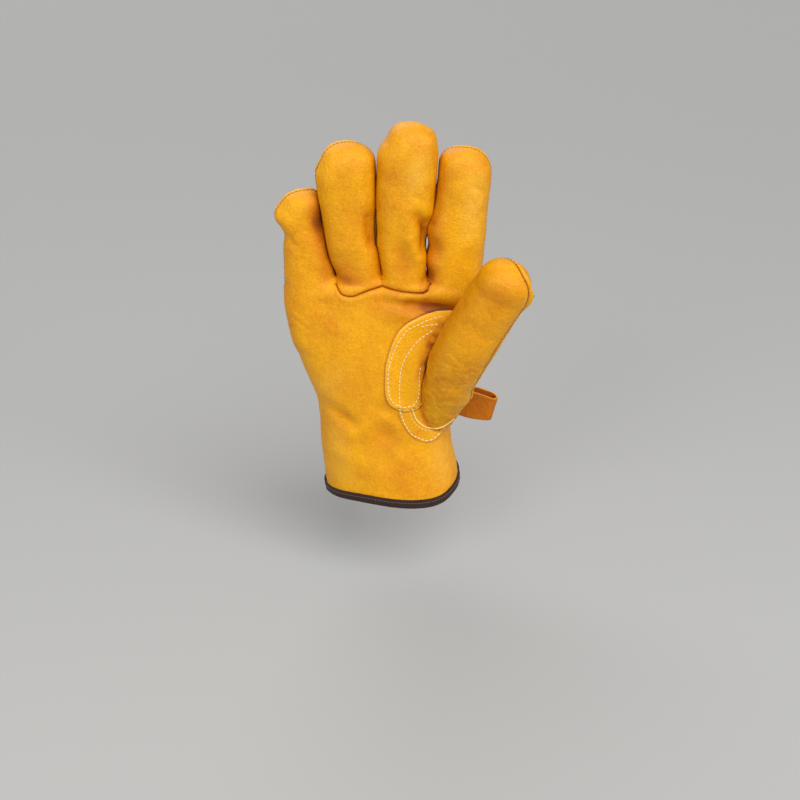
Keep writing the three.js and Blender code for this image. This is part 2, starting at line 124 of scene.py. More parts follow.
# Where the seam starts to climb to the back of each fingertip, how far it goes, and how much further on the right.
TIP_SEAM = {"pinky": (158, 4, 3.2), "ring": (180, 5.4, 6), "middle": (186, 12, 0), "index": (178, 5.4, -4.6)}
GUSSET_TOP = {"pinky": 186, "ring": 212, "middle": 216, "index": 208}
# Z of the seam across the bases of the two middle fingers, against X.
BASE_SEAM = np.array([
    [-34, 143.5], [-32.9, 142.6], [-31.5, 140], [-29.5, 138.2], [-26.5, 137.4], [-23, 137.6], [-18.5, 139.4],
    [-14, 141.2], [-10, 142.2], [-6.2, 143.2], [-4, 142.6], [0, 141.6], [6, 140.6], [12, 139.8], [18, 139.4],
    [20.6, 140.4], [22, 143.5],
], float)
THUMB_SEAM_ROLL = -0.5
THUMB_SEAM_TWIST = -0.42
# How much lower the cuff's rim hangs at the front, against X.
RIM_DROP = np.array([
    [-46, 6], [-41, 4.8], [-34, 3], [-27, 1.7], [-20, 1], [-11, 1.2], [-2, 2], [7, 3], [16, 3.8], [25, 4.4],
    [32, 4], [38, 2.4], [46, 0.4],
], float)
SLIT = {"x": -28.4, "top": 62, "bottom": -16, "bottom_half": 5.6, "top_half": 1.4}

LATTICE = np.random.default_rng(11).uniform(-1, 1, (32, 32, 32))

# Dents (below zero) and ridges (above zero) as lines in X and Z: from, to, half width, depth.
PALM_FOLDS = [
    [-4, 135, 14, 131.5, 3.4, -1.4], [11, 132, 38, 128, 4, -3.8], [-2, 136.5, 16, 134.5, 2.6, 0.8],
    [-2, 127, 28, 121, 5, 0.9], [-8, 52, -3, 30, 8, -1.6], [16, 140.5, 40, 137, 4.2, 1],
    [-38, 63, -24, 52, 5, -1.9], [-27, 46, -6, 58, 4.5, 1], [-8, 50, 8, 38, 5, -1], [-8, 66, 2, 60, 4, -0.8],
    [-34, 32, -18, 27, 6, 0.6], [-42, 134, -30, 124, 5, -0.8], [-20, 120, -28, 98, 7, 0.8],
    [-59, 128, -50, 121, 1.6, -0.5], [-60, 122, -51, 116, 1.4, -0.4], [-61, 133, -54, 128, 1.5, -0.35],
]
FINGER_FOLDS = {
    "pinky": [
        [-46, 152, -38, 146, 4, -0.9], [-47, 182, -42, 170, 4.5, -1.4], [-60, 172, -55, 166, 2.6, -0.8],
    ],
    "ring": [
        [-13.2, 183, -11.8, 171, 3.6, -2.6], [-30, 158, -26, 147, 6, -0.8], [-22, 160, -25, 146, 5, -0.6],
        [-14, 202, -22, 199, 4, -0.5],
    ],
    "middle": [
        [14.5, 185, 21.5, 177, 3.6, -2.6], [21, 178, 19.6, 167, 5, -3.3], [9.4, 190, 9.6, 174, 4.2, 1.4],
        [10.2, 172, 15.4, 161, 3.8, 1.7], [16, 159, 17.2, 150, 3.6, 1.2], [3.5, 168, 7.5, 155, 5.4, -1.4],
        [-2, 160, -4, 150, 3, 0.6], [0, 204, 16, 199, 6, -0.5], [12, 198, 20, 194, 1.6, -0.35],
    ],
    "index": [
        [46, 203, 52, 199, 1.5, -0.6], [43, 198, 46, 192, 1.4, -0.35], [40, 200, 47, 192, 5, 0.5],
        [48, 172, 30, 158, 6, 0.6], [26, 170, 27, 160, 3, -0.8],
    ],
}
BACK_FOLDS = [
    [37, 104, 28, 98.5, 3, -1.2], [28, 98.5, 17, 87, 3.2, -2], [17, 87, 4, 77.5, 3.6, -1.9],
    [25, 91, 12, 80, 2.6, 0.6], [-14, 112, -22, 82, 4, -1.2], [-40, 104, -32, 84, 3.2, -1.4],
    [26, 66, 38, 46, 3.4, -1.6], [14, 64, 34, 52, 2.6, -1.8], [-6, 64, 12, 52, 3.2, -1.4],
    [-16, 62, -10, 53, 3, -1.2], [-44, 66, -38, 54, 2.6, -1.3], [40, 84, 44, 62, 3.6, -1.3],
    [-52, 90, -46, 70, 3.2, -1.2], [-24, 132, -8, 128, 5, -0.7], [10, 130, 26, 124, 5, -0.7],
    [-22, 186, -32, 182, 3.5, -0.7], [2, 196, 14, 192, 3.5, -0.7], [34, 190, 46, 186, 3.5, -0.6],
    [-24, 168, -14, 164, 3.5, -0.6], [2, 170, 14, 168, 3.5, -0.6], [-38, 122, -18, 116, 2.4, -0.8],
    [-30, 98, -14, 90, 2.4, -1], [8, 116, 26, 112, 2.2, -0.7], [-8, 108, 6, 98, 2.6, -0.8],
    [-4, 84, -18, 79, 2.4, -0.9],
]
THUMB_FOLDS = [
    [44, 132, 56, 122, 4, -0.6], [32, 92, 46, 84, 4.5, -0.7], [60, 150, 66, 158, 5, 0.4],
    [27, 70, 38, 66, 3.5, -0.6], [36, 112, 42, 106, 1.6, -0.3], [46, 108, 52, 103, 1.6, -0.3],
    [51, 146, 56, 138, 1.4, -0.3],
]
# Places where a finger's outline is fuller or flatter: x, z, radius, height.
PUSHES = {
    "pinky": [[-63, 191, 6, -1.8], [-44.5, 195, 6, 2.6], [-67, 173, 6, -2.4], [-68, 184, 4, 0.8]],
    "ring": [[-41.5, 217, 8, -1.7], [-10.8, 218, 6, 1.3], [-10.5, 167, 4, -1.5]],
    "middle": [[-5.5, 229, 7.5, -2.7], [23, 229, 5, 1.2], [-10.5, 167, 5, 0.4], [24, 168, 6.5, -1.9]],
    "index": [[29, 218, 6, 1.6], [22.5, 175, 9, 3.2], [21, 158, 6, 2.2]],
}
PLEATS = {"z": 67.5, "reach": 10.5, "pitch": 9.2, "deep": 2.9, "waist": 0.5}
THUMB_CORNER = np.array([76.5, -45, 149.5])
THUMB_PUSHES = [[15, 72, 7, -2], [16, 86, 8, -2], [50, 73, 4.5, 2.2], [53, 84, 5, -0.8]]
LEAF = {"z": 141.5, "half": 3.4, "high": 8.5}
# Heights from which the gussets, the cuts between the fingers, the dark stitches and a finger's own folds start.
GUSSETS_FROM = 128
GAPS_FROM = 132
STITCHES_FROM = 140
FOLDS_FROM = 143
# The thumb goes into the hand below this height.
THUMB_TO = 142

# Painted shade, darker (above zero), and painted highlights, paler (below zero), on the leather, as lines in X and Z:
# from, to, half width, amount.
PALM_PAINTED_SHADING = [
    [20, 131, 37, 128.5, 4.8, 0.62], [-8, 132, 17, 124, 9, 0.3], [19, 142.5, 22, 149, 4.5, 0.5],
    [-9, 56, -1, 20, 13, 0.2], [6, 52, 14, 47, 8, 0.14], [-36, 60, -32, 15, 8, -0.1], [29, 44, 33, 14, 7, -0.14],
    [-46, 72, -34, 86, 9, -0.1],
]
FINGER_PAINTED_SHADING = {
    "pinky": [[-45, 195, -42, 181, 5.4, 0.6], [-42, 181, -38, 148, 4.6, 0.55]],
    "ring": [
        [-12.6, 186, -11, 170, 4.6, 0.26], [-11.5, 172, -10, 150, 2.8, 0.24], [-30, 168, -26, 150, 8, 0.24],
        [-36, 149, -20, 143, 7, 0.46],
    ],
    "middle": [
        [14, 184, 21, 176, 3.4, 0.32], [20.5, 176, 18.4, 164, 4.2, 0.36], [4, 165, 8, 151, 6, 0.36],
        [15, 217, 12, 204, 6, -0.2],
    ],
    "index": [
        [28, 212, 25, 182, 3.6, 0.34], [25, 180, 22.5, 148, 6, 0.5], [46.5, 206, 44, 176, 6, -0.2],
    ],
}
# Painted shade on the thumb, in the same columns.
THUMB_PAINTED_SHADING = [[54, 152, 66, 152, 10, 0.34], [40, 108, 46, 116, 12, 0.1], [52, 132, 60, 138, 7, 0.1]]

# Outlines in X and Z.
PALM_PATCH = np.array([
    [-3.6, 97], [-4.6, 88.8], [-4.7, 76.7], [-2.4, 69], [3.3, 65], [9.6, 63.9], [15.6, 65.6], [18.8, 70.6],
    [19, 82], [22, 95], [30, 112], [38, 125.6], [30, 127.4], [21.5, 126.6], [13.9, 124.2], [6.6, 119.4], [1, 111.4],
], float)
KNUCKLE_PATCH = np.array([[-53, 136], [44, 126], [38, 72], [-44, 79]], float)
CRESCENT = np.array([
    [19.8, 116.2], [11.4, 109.4], [5, 98.2], [2.6, 84], [2.6, 68.2], [3.6, 59.5], [9.2, 48.4], [15.9, 42.7],
    [22.8, 40.4], [30.6, 43.4], [34.3, 49.5], [40, 70], [40, 100],
], float)
STRAP = {"root": -52, "tip": 21, "low": 17, "high": 51}
CLOSURE_PAD = {"root": -12, "tip": 24, "low": 17.6, "high": 49.8}
STRAP_TAPE_WIDTH = 4.6
TAPE_WIDTH = 6.1
TAPE_ROW = 4.3
LEATHER_START = 1
HIDDEN = 2.4
STITCH_ROW = 1.3

PATCH_HIGH = 1.6
TAPE_HIGH = 1.1
LOOP = {"x": 39.5, "y": 5, "z": 60, "reach": 27, "thick": 11, "wide": 20, "leather": 1.4, "droop": 0.25}
LOOP_TAPER = 0.2

# Rows of white stitches on the palm side, as points in X and Z.
PALM_STITCHES = [
    [[29.6, 125.2], [21.5, 123.8], [14.5, 120.6], [8.6, 117.2], [3.3, 109.4], [-1.2, 98], [-2.9, 86], [-2.1, 75.5],
     [1, 69.6], [7.1, 67.1], [13, 68.8], [15.8, 74.7], [16.1, 83], [16.2, 89], [17.2, 96]],
    [[27.5, 121], [21.6, 120.4], [14.3, 119.3]],
    [[24.2, 117], [18.3, 113.2], [12.4, 107.3], [6.8, 98], [4.6, 89], [4.1, 77.5], [4.4, 65.3], [5.5, 60.6],
     [7.5, 55], [11.3, 48.4], [15, 45.6], [19.2, 43.1], [22.6, 42.3], [26.3, 43.1], [30.4, 46.5], [32.2, 50.8]],
]
# The row on the knuckle patch is its outline made smaller by these shares, and two rows cross the strap's root.
KNUCKLE_CORNER = 7
KNUCKLE_ROW = {"shares": [0.945, 0.9], "corner": 6, "extra_pitch": 0.4}
ROOT_ROWS = {"x": (-24.5, -41), "low": 23, "high": 45}
# The pale edge round the foot of the thumb, and the stitches beside it.
BASE_EDGE = [[11.8, 65.6], [12.6, 63.4], [14.9, 57.3], [19.9, 52.2], [24.1, 50.3], [30.3, 51.7], [34.8, 55.9],
             [37.6, 59.2]]
BASE_STITCHES = [[10.4, 64], [12.9, 56.8], [18.3, 50.9], [24, 48.6], [29.6, 49.6]]
WHITE_PITCH = 2.75
WHITE_LENGTH = 1.5
WHITE_RADIUS = 0.29
DARK_PITCH = 2.3
DARK_LENGTH = 1.3
DARK_RADIUS = 0.27
ZIGZAG = {"right": 39, "left": -50, "z": 67.3, "climb": 0.036, "high": 3.7, "pitch": 4.6}
# The strap and its pad lie behind this Y, and the strap's root sinks towards it.
STRAP_FROM = 13
STRAP_LEVEL = 2.4
BINDING_LEVEL = 3.05
PAD_LEVEL = 0.2
STRAP_THICK = 1.3
TAPE_PITCH = 2.2
TAPE_LENGTH = 1.5
TAPE_RADIUS = 0.2


def smooth_table(rows, keys, samples):
    """Rows of numbers read smoothly at the given keys."""
    slopes = np.empty_like(rows)
    slopes[1:-1] = (rows[2:] - rows[:-2]) / (keys[2:] - keys[:-2])[:, None]
    slopes[0] = (rows[1] - rows[0]) / (keys[1] - keys[0])
    slopes[-1] = (rows[-1] - rows[-2]) / (keys[-1] - keys[-2])
    i = np.clip(np.searchsorted(keys, samples, side="right") - 1, 0, len(keys) - 2)
    span = (keys[i + 1] - keys[i])[:, None]
    t = np.clip((samples - keys[i])[:, None] / span, 0, 1)
    return (
        (2 * t**3 - 3 * t**2 + 1) * rows[i]
        + (t**3 - 2 * t**2 + t) * span * slopes[i]
        + (3 * t**2 - 2 * t**3) * rows[i + 1]
        + (t**3 - t**2) * span * slopes[i + 1]
    )


RIM_DROP_X = np.arange(RIM_DROP[0, 0], RIM_DROP[-1, 0] + 0.01, 0.5)
RIM_DROP_AT = smooth_table(RIM_DROP[:, 1:], RIM_DROP[:, 0], RIM_DROP_X)[:, 0]
HAND_Z = np.arange(HAND[0, 0], HAND[-1, 0] + 0.01, 0.5)
HAND_AT = smooth_table(HAND[:, 1:], HAND[:, 0], HAND_Z)


def columns(table, keys, at):
    """Each column of a table, read at the given keys."""
    return [np.interp(at, keys, column) for column in table.T]


def power_norm(power, *parts):
    return sum(np.abs(p) ** power for p in parts) ** (1 / power)


def ease(t):
    """From 0 to 1 with soft ends."""
    t = np.clip(t, 0, 1)
    return t * t * (3 - 2 * t)


def bell(distance, width):
    """1 at a place, and softly less away from it."""
    return np.exp(-((distance / width) ** 2))


def unit(vectors):
    return vectors / np.maximum(np.linalg.norm(vectors, axis=-1), 1e-9)[..., None]


def hand_field(p):
    """Negative inside the hand, and near to a distance in millimetres outside it."""
    z = np.minimum(p[..., 2], HAND_DOME)
    left, right, front, back, power, lean = columns(HAND_AT, HAND_Z, z)
    v = np.where(p[..., 1] > 0, p[..., 1] / back, -p[..., 1] / front)
    leaned = lean * np.clip(-v, 0, 1.3) ** 1.5
    u = (p[..., 0] - (left + right) / 2 - leaned) / ((right - left) / 2)
    over = np.maximum(p[..., 2] - HAND_DOME, 0) / HAND_DOME_HIGH
    return (power_norm(power, u, v, over) - 1) * (back - front) / 2


class Digit:
    """One finger or the thumb, in axes of its own."""

    def __init__(self, name):
        self.tip, rows = DIGITS[name]
        rows = np.array(rows, float)
        dense = smooth_table(rows, np.linspace(0, 1, len(rows)), np.linspace(0, 1, 120))
        self.root = rows[0, :3]
        along = unit(rows[-1, :3] - rows[0, :3])
        across = unit(np.array([along[2], 0, -along[0]]))
        self.axes = np.array([across, np.cross(along, across), along])
        local = (dense[:, :3] - self.root) @ self.axes.T
        self.at = local[:, 2]
        self.table = np.column_stack([local[:, :2], dense[:, 3:]])
        self.length = self.at[-1]
        self.root_dome = rows[0, 3] * 0.8

    def field(self, p):
        q = (p - self.root) @ self.axes.T
        w = np.clip(q[..., 2], 0, self.length)
        across, outward, wide, deep = columns(self.table, self.at, w)
        over = np.maximum(q[..., 2] - self.length, 0) / self.tip - np.minimum(q[..., 2], 0) / self.root_dome
        outline = power_norm(DIGIT_POWER, (q[..., 0] - across) / wide, over)
        return (power_norm(DIGIT_FLATNESS, outline, (q[..., 1] - outward) / deep) - 1) * np.minimum(wide, deep)


digits = {name: Digit(name) for name in DIGITS}


def spread_share(z):
    return ease((z - SPREAD_FROM) / SPREAD_OVER)


def finger_fields(p):
    """The field of each finger where it stands in the spread hand."""
    share = spread_share(p[..., 2])
    for name in FINGERS:
        moved = p.copy()
        moved[..., 0] -= SPREAD[name] * share
        yield digits[name].field(moved)


def spread_field(p):
    """The hand with its fingers spread apart, each blended into it."""
    field = hand_field(p)
    for finger in finger_fields(p):
        h = np.clip(0.5 + 0.5 * (finger - field) / BLEND, 0, 1)
        field = finger + (field - finger) * h - BLEND * h * (1 - h)
    return field


def close_fingers(p):
    """Moves points of the spread hand back to where the fingers stand in the glove, and says whose each is."""
    weights = np.array([1 / (np.maximum(finger, 0) + 0.3) ** 2 for finger in finger_fields(p)])
    weights /= weights.sum(0)
    shifts = np.array([SPREAD[name] for name in FINGERS])
    closed = p.copy()
    closed[:, 0] -= (weights * shifts[:, None]).sum(0) * spread_share(p[:, 2])
    return closed, weights


def settle(field, p, reach=0.05, turns=3):
    """Moves points onto the surface of a field."""
    for _ in range(turns):
        slope = np.empty_like(p)
        for axis, shift in enumerate(np.eye(3) * reach):
            slope[:, axis] = (field(p + shift) - field(p - shift)) / (2 * reach)
        p = p - slope * (field(p) / np.maximum((slope**2).sum(1), 1e-6))[:, None]
    return p


CORNERS = [(a, b, c) for a in (0, 1) for b in (0, 1) for c in (0, 1)]


def surface_net(field, low, high, step):
    """Triangles of the surface where a field is zero, one point to each cell that it crosses."""
    counts = [int(math.ceil((h - l) / step)) + 1 for l, h in zip(low, high)]
    axes = [l + step * np.arange(n) for l, n in zip(low, counts)]
    values = np.empty(counts, np.float32)
    for i, x in enumerate(axes[0]):
        y, z = np.meshgrid(axes[1], axes[2], indexing="ij")
        values[i] = field(np.stack([np.full_like(y, x), y, z], -1))
    inside = values < 0
    cells = [slice(0, -1), slice(1, None)]
    total = sum(inside[cells[a], cells[b], cells[c]].astype(np.int8) for a, b, c in CORNERS)
    active = (total > 0) & (total < 8)
    index = np.full(active.shape, -1)
    index[active] = np.arange(active.sum())
    at = np.argwhere(active)
    sums = np.zeros((len(at), 3))
    hits = np.zeros(len(at))
    triangles = []
    for axis in range(3):
        ahead = np.eye(3, dtype=int)[axis]
        for corner in CORNERS:
            if corner[axis]:
                continue
            start = at + corner
            a = values[tuple(start.T)]
            b = values[tuple((start + ahead).T)]
            cross = (a < 0) != (b < 0)
            t = np.where(cross, a / np.where(cross, a - b, 1), 0)
            sums[cross] += (start + t[:, None] * ahead)[cross]
            hits[cross] += 1
        u, v = [(1, 2), (2, 0), (0, 1)][axis]
        leaving = inside.swapaxes(0, axis)[:-1].swapaxes(0, axis)
        change = leaving != inside.swapaxes(0, axis)[1:].swapaxes(0, axis)
        places = np.argwhere(change)
        keep = (places[:, u] > 0) & (places[:, v] > 0)
        keep &= (places[:, u] < active.shape[u]) & (places[:, v] < active.shape[v])
        places = places[keep]
        ring = []
        for du, dv in ((-1, -1), (0, -1), (0, 0), (-1, 0)):
            cell = places.copy()
            cell[:, u] += du
            cell[:, v] += dv
            ring.append(index[tuple(cell.T)])
        ring = np.array(ring).T
        flip = ~leaving[tuple(places.T)]
        ring[flip] = ring[flip][:, ::-1]
        triangles += [ring[:, [0, 1, 2]], ring[:, [0, 2, 3]]]
    return np.array(low) + step * sums / hits[:, None], np.concatenate(triangles)


def edges_of(triangles):
    return np.concatenate([triangles[:, [0, 1]], triangles[:, [1, 2]], triangles[:, [2, 0]]])


class Skin:
    """Points and triangles that are cut along lines, then raised, and made into solids part by part."""

    def __init__(self, field, box, step=STEP):
        points, self.triangles = surface_net(field, *box, step)
        self.points = settle(field, points)

    def cut(self, value):
        """Adds points along the line where a value, given for each point, is zero."""
        value = np.where(np.abs(value) < SNAP, 0.0, value)
        side = np.sign(value).astype(int)
        corner = side[self.triangles]
        crossing = (corner.min(1) < 0) & (corner.max(1) > 0)
        added = []
        mids = []
        seen = {}
        count = len(self.points)

        def middle(a, b):
            key = (a, b) if a < b else (b, a)
            if key not in seen:
                a, b = key
                t = value[a] / (value[a] - value[b])
                seen[key] = count + len(mids)
                mids.append(self.points[a] + t * (self.points[b] - self.points[a]))
            return seen[key]

        for tri in self.triangles[crossing].tolist():
            while not (side[tri[0]] != side[tri[1]] and side[tri[0]] != side[tri[2]] and side[tri[0]] != 0):
                tri = tri[1:] + tri[:1]
            a, b, c = tri
            if side[b] == 0:
                m = middle(a, c)
                added += [(a, b, m), (m, b, c)]
            elif side[c] == 0:
                m = middle(a, b)
                added += [(a, m, c), (m, b, c)]
            else:
                m = middle(a, b)
                n = middle(a, c)
                added += [(a, m, n), (m, b, c), (m, c, n)]
        if mids:
            self.points = np.concatenate([self.points, np.array(mids)])
            self.triangles = np.concatenate([self.triangles[~crossing], np.array(added)])

    def middles(self):
        return self.points[self.triangles].mean(1)

    def point_normals(self):
        a, b, c = [self.points[self.triangles[:, i]] for i in range(3)]
        face = np.cross(b - a, c - a)
        out = np.zeros_like(self.points)
        for i in range(3):
            for axis in range(3):
                out[:, axis] += np.bincount(self.triangles[:, i], face[:, axis], len(self.points))
        return unit(out)

    def finish(self, raised):
        """Moves each point out by its own amount."""
        self.points = self.points + self.point_normals() * raised[:, None]
        self.normals = self.point_normals()

    def part(self, chosen, low, high, pale=0):
        """A closed solid over some of the triangles, between two heights above the skin."""
        count = len(self.points)
        low, high = [np.broadcast_to(height, count).astype(float) for height in (low, high)]
        # Each point's painted shade and painted highlights with the leather's own colour, or instead the pale rim
        # given for a patch's cut edge.
        painted_light_and_tone = self.painted_light_and_tone * (pale == 0) - pale
        *skin, painted_light_and_tone = tidy(self.points, self.triangles[chosen], self.normals, low, high, painted_light_and_tone)
        solid, faces, source = thicken(*skin)
        return solid, faces, painted_light_and_tone[source]

    def trace(self, value, chosen, shortest=12):
        """The lines along which a value is zero, as lists of point numbers in order."""
        on = np.abs(value) < SNAP + 1e-3
        edges = edges_of(self.triangles[chosen])
        links = {}
        for a, b in edges[on[edges].all(1)].tolist():
            links.setdefault(a, set()).add(b)
            links.setdefault(b, set()).add(a)
        used = set()
        out = []
        for start in sorted(links, key=lambda k: (len(links[k]) != 1, k)):
            line = []
            ahead = [start] if start not in used else []
            while ahead:
                line.append(ahead[0])
                used.add(ahead[0])
                ahead = sorted(k for k in links[line[-1]] if k not in used)
            if len(line) >= shortest:
                out.append(line)
        return out

    def stitches(self, value, chosen, pitch, length, lift):
        """Dashes along the lines where a value is zero."""
        out = []
        for line in self.trace(value, chosen):
            out += dashes(self.points[line] + self.normals[line] * lift, pitch, length)
        return out


def tidy(points, triangles, *values):
    """Drops the points that no triangle uses."""
    used, triangles = np.unique(triangles, return_inverse=True)
    return (points[used], triangles.reshape(-1, 3), *[v[used] for v in values])


def thicken(points, triangles, normals, low, high):
    """A closed solid: the skin at two heights, and a rim between them. Also says which point each is from."""
    points = points + normals * high[:, None]
    depth = (high - low)[:, None]
    edges = edges_of(triangles)
    span = triangles.max() + 1
    edges = edges[~np.isin(edges[:, 0] * span + edges[:, 1], edges[:, 1] * span + edges[:, 0])]
    rim = np.unique(edges)
    place = np.full(len(points), -1)
    place[rim] = np.arange(len(rim))
    every = np.arange(len(points))
    sources = [every] + [rim] * (WALL_ROWS - 1) + [every]
    layers = [points[s] - (normals * depth)[s] * (row / WALL_ROWS) for row, s in enumerate(sources)]
    starts = np.cumsum([0] + [len(layer) for layer in layers])
    faces = [triangles, triangles[:, ::-1] + starts[-2]]
    for row in range(WALL_ROWS):
        upper = edges if row == 0 else place[edges] + starts[row]
        lower = edges + starts[-2] if row == WALL_ROWS - 1 else place[edges] + starts[row + 1]
        faces.append(np.column_stack([upper[:, 1], upper[:, 0], lower[:, 0]]))
        faces.append(np.column_stack([upper[:, 1], lower[:, 0], lower[:, 1]]))
    return np.concatenate(layers), np.concatenate(faces), np.concatenate(sources)


def make_object(name, solid, material, node=None):
    """A Blender mesh from points in millimetres, faces and perhaps the painted light and the leather's own colour at
    each point, riding on the glove.
    """
    points, faces, *painted_light_and_tone = solid
    mesh = bpy.data.meshes.new(name)
    mesh.from_pydata(((points - [0, 0, RIM_HEIGHT]) * MM).tolist(), [], faces.tolist(), shade_flat=False)
    mesh.validate()
    if painted_light_and_tone:
        layer = mesh.attributes.new("painted_light_and_tone", "FLOAT", "POINT")
        layer.data.foreach_set("value", np.clip(painted_light_and_tone[0], -1, 1).astype(np.float32))
    mesh.materials.append(material)
    piece = bpy.data.objects.new(name, mesh)
    bpy.context.scene.collection.objects.link(piece)
    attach(piece, "root")
    if node:
        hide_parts(node)


def bumps(points, size, seed=0):
    """Smooth random bumps of about a size in millimetres, from -1 to 1."""
    q = points / size + seed * 7.3
    low = np.floor(q).astype(int)
    t = ease(q - low)
    out = 0
    for corner in np.array(CORNERS):
        weight = np.abs(1 - corner - t)
        out = out + weight[:, 0] * weight[:, 1] * weight[:, 2] * LATTICE[tuple(((low + corner) % 32).T)]
    return out


def away_from(place, start, end):
    """How far places are from a line, and where along it they are nearest, from 0 to 1."""
    along = end - start
    t = np.clip((place - start) @ along / max(along @ along, 1e-9), 0, 1)
    return np.linalg.norm(place - start - t[:, None] * along, axis=1), t


def fold_depth(points, folds):
    out = np.zeros(len(points))
    for *ends, width, depth in folds:
        away, t = away_from(points[:, [0, 2]], *np.reshape(ends, (2, 2)))
        out += depth * bell(away, width) * (0.75 + 0.25 * np.sin(math.pi * t))
    return out


def push_out(points, pushes):
    out = np.zeros(len(points))
    for x, z, radius, height in pushes:
        out += height * bell(np.hypot(points[:, 0] - x, points[:, 2] - z), radius)
    return out


def pleat_depth(points, normals):
    """The gathers that the elastic makes across the back of the wrist."""
    up = points[:, 2] - PLEATS["z"]
    near = bell(up, PLEATS["reach"])
    wide = bell(up, 2.2 * PLEATS["reach"])
    drift = 1.6 * bumps(points, 18, 3) + 0.16 * up + 1.2 * bumps(points, 9, 5) * np.abs(up) / 12
    wave = np.abs(np.sin((points[:, 0] + drift) * math.pi / PLEATS["pitch"]))
    uneven = 0.75 + 0.5 * bumps(points, 11, 6)
    gathers = near * PLEATS["deep"] * (wave**0.8 - 0.72) + 0.55 * wide * (wave - 0.6)
    return ease(normals[:, 1] * 1.6) * (uneven * gathers - wide * PLEATS["waist"])


def relief(points, normals, palm_folds):
    """How far the leather stands out of its plain form, in millimetres."""
    front = ease(-normals[:, 1] * 1.8 + 0.15)
    rear = ease(normals[:, 1] * 1.8 + 0.15)
    out = front * palm_folds + rear * fold_depth(points, BACK_FOLDS)
    return out + 0.42 * bumps(points, 24, 1) + 0.2 * bumps(points, 9, 2) + 0.09 * bumps(points, 3.4, 4)


def groove(distance, deep=0.85, width=1.0, shoulder=0.28):
    """A sewn seam: a narrow valley between two soft shoulders."""
    distance = np.abs(distance)
    return -deep * bell(distance, width) + shoulder * bell(distance - 3.0, 1.8)


def smooth_outline(outline, closed=True, samples=10):
    """A smooth curve through points in X and Z."""
    outline = np.array(outline, float)
    before, after = (outline[-1:], outline[:2]) if closed else (outline[:1], outline[-1:])
    padded = np.concatenate([before, outline, after])
    out = []
    for a, b, c, d in zip(padded, padded[1:], padded[2:], padded[3:]):
        for t in np.linspace(0, 1, samples, endpoint=False):
            out.append(0.5 * (2 * b + (c - a) * t + (2*a - 5*b + 4*c - d) * t**2 + (3*b - a - 3*c + d) * t**3))
    return np.array(out if closed else out + [outline[-1]])


def rounded(corners, radius):
    """A closed outline with its corners rounded."""
    out = []
    for before, corner, after in zip(np.roll(corners, 1, 0), corners, np.roll(corners, -1, 0)):
        start = corner + unit(before - corner) * radius
        end = corner + unit(after - corner) * radius
        for t in np.linspace(0, 1, 8):
            out.append((1 - t) ** 2 * start + 2 * t * (1 - t) * corner + t * t * end)
    return np.array(out)


def outline_distance(points, outline):
    """How far points are from a closed outline in X and Z, below zero inside it."""
    place = points[:, [0, 2]]
    nearest = np.full(len(place), 1e9)
    inside = np.zeros(len(place), bool)
    for a, b in zip(np.roll(outline, 1, 0), outline):
        nearest = np.minimum(nearest, away_from(place, a, b)[0])
        if a[1] != b[1]:
            over = (place[:, 1] > a[1]) != (place[:, 1] > b[1])
            inside ^= over & (place[:, 0] < a[0] + (place[:, 1] - a[1]) / (b[1] - a[1]) * (b - a)[0])
    return np.where(inside, -nearest, nearest)


def round_end(strap):
    """The middle height of a band, and the radius and the centre of its round end."""
    radius = (strap["high"] - strap["low"]) / 2
    return (strap["low"] + strap["high"]) / 2, radius, strap["tip"] - radius


def strap_distance(points, strap):
    """How far points are from the outline of a band with one round end."""
    middle, radius, centre = round_end(strap)
    x, _, z = points.T
    z = z - middle
    body = np.maximum(np.abs(z) - radius, strap["root"] - x)
    return np.where(x > centre, np.hypot(x - centre, z) - radius, body)


def centre_lines(z):
    """X of the middle of each spread finger, and its half width."""
    out = []
    for name in FINGERS:
        rows = np.array(DIGITS[name][1], float)
        middle, half = columns(rows[:, [0, 3]], rows[:, 2], z)
        out.append((middle + SPREAD[name] * spread_share(z), half))
    return out


def gap_lines(z):
    """X of the middle of each gap between two fingers."""
    lines = centre_lines(z)
    return [(lines[i][0] + lines[i][1] + lines[i + 1][0] - lines[i + 1][1]) / 2 for i in range(3)]


def seam_distance(points):
    """How far points of the spread hand are behind the seam of its palm side."""
    x, y, z = points.T
    gaps = gap_lines(z)
    finger = (x > gaps[0]).astype(int) + (x > gaps[1]) + (x > gaps[2])
    seam = np.interp(z, SEAM[:, 0], SEAM[:, 1])
    for i, (middle, half) in enumerate(centre_lines(z)):
        start, back, tilt = TIP_SEAM[FINGERS[i]]
        shift = (back + tilt * np.clip((x - middle) / half, -1, 1)) * ease((z - start) / 32)
        seam = seam + np.where(finger == i, shift, 0)
    return y - seam


def gusset_edge(points):
    """Below zero in front of the back edge of the gussets; their ends reach round to the back as small leaves."""
    x, y, z = points.T
    lines = centre_lines(z)
    wide = np.zeros(len(points))
    leaf = np.full(len(points), FAR)
    for i, gap in enumerate(gap_lines(z)):
        top = np.where(x < gap, GUSSET_TOP[FINGERS[i]], GUSSET_TOP[FINGERS[i + 1]])
        taper = np.clip((top - z) / 26, 0, 1) ** 0.7
        wide += GUSSET * taper * (ease((x - lines[i][0]) / 4) * ease((lines[i + 1][0] - x) / 4))
        away = np.abs(x - gap) / LEAF["half"] + ((z - LEAF["z"]) / LEAF["high"]) ** 2
        leaf = np.minimum(leaf, (away - 1) * LEAF["half"])
    return np.minimum(seam_distance(points) - wide, np.where(y > 2, leaf, FAR))


def base_distance(points):
    """How far points of the spread hand are above the seam across the bases of the two middle fingers."""
    above = points[:, 2] - np.interp(close_fingers(points)[0][:, 0], *BASE_SEAM.T)
    return np.where(points[:, 1] < 0, above, FAR)


def rim_height(points):
    drop = np.interp(points[:, 0], RIM_DROP_X, RIM_DROP_AT)
    return RIM_HEIGHT + points[:, :2] @ RIM_CLIMB - drop * ease((14 - points[:, 1]) / 16)


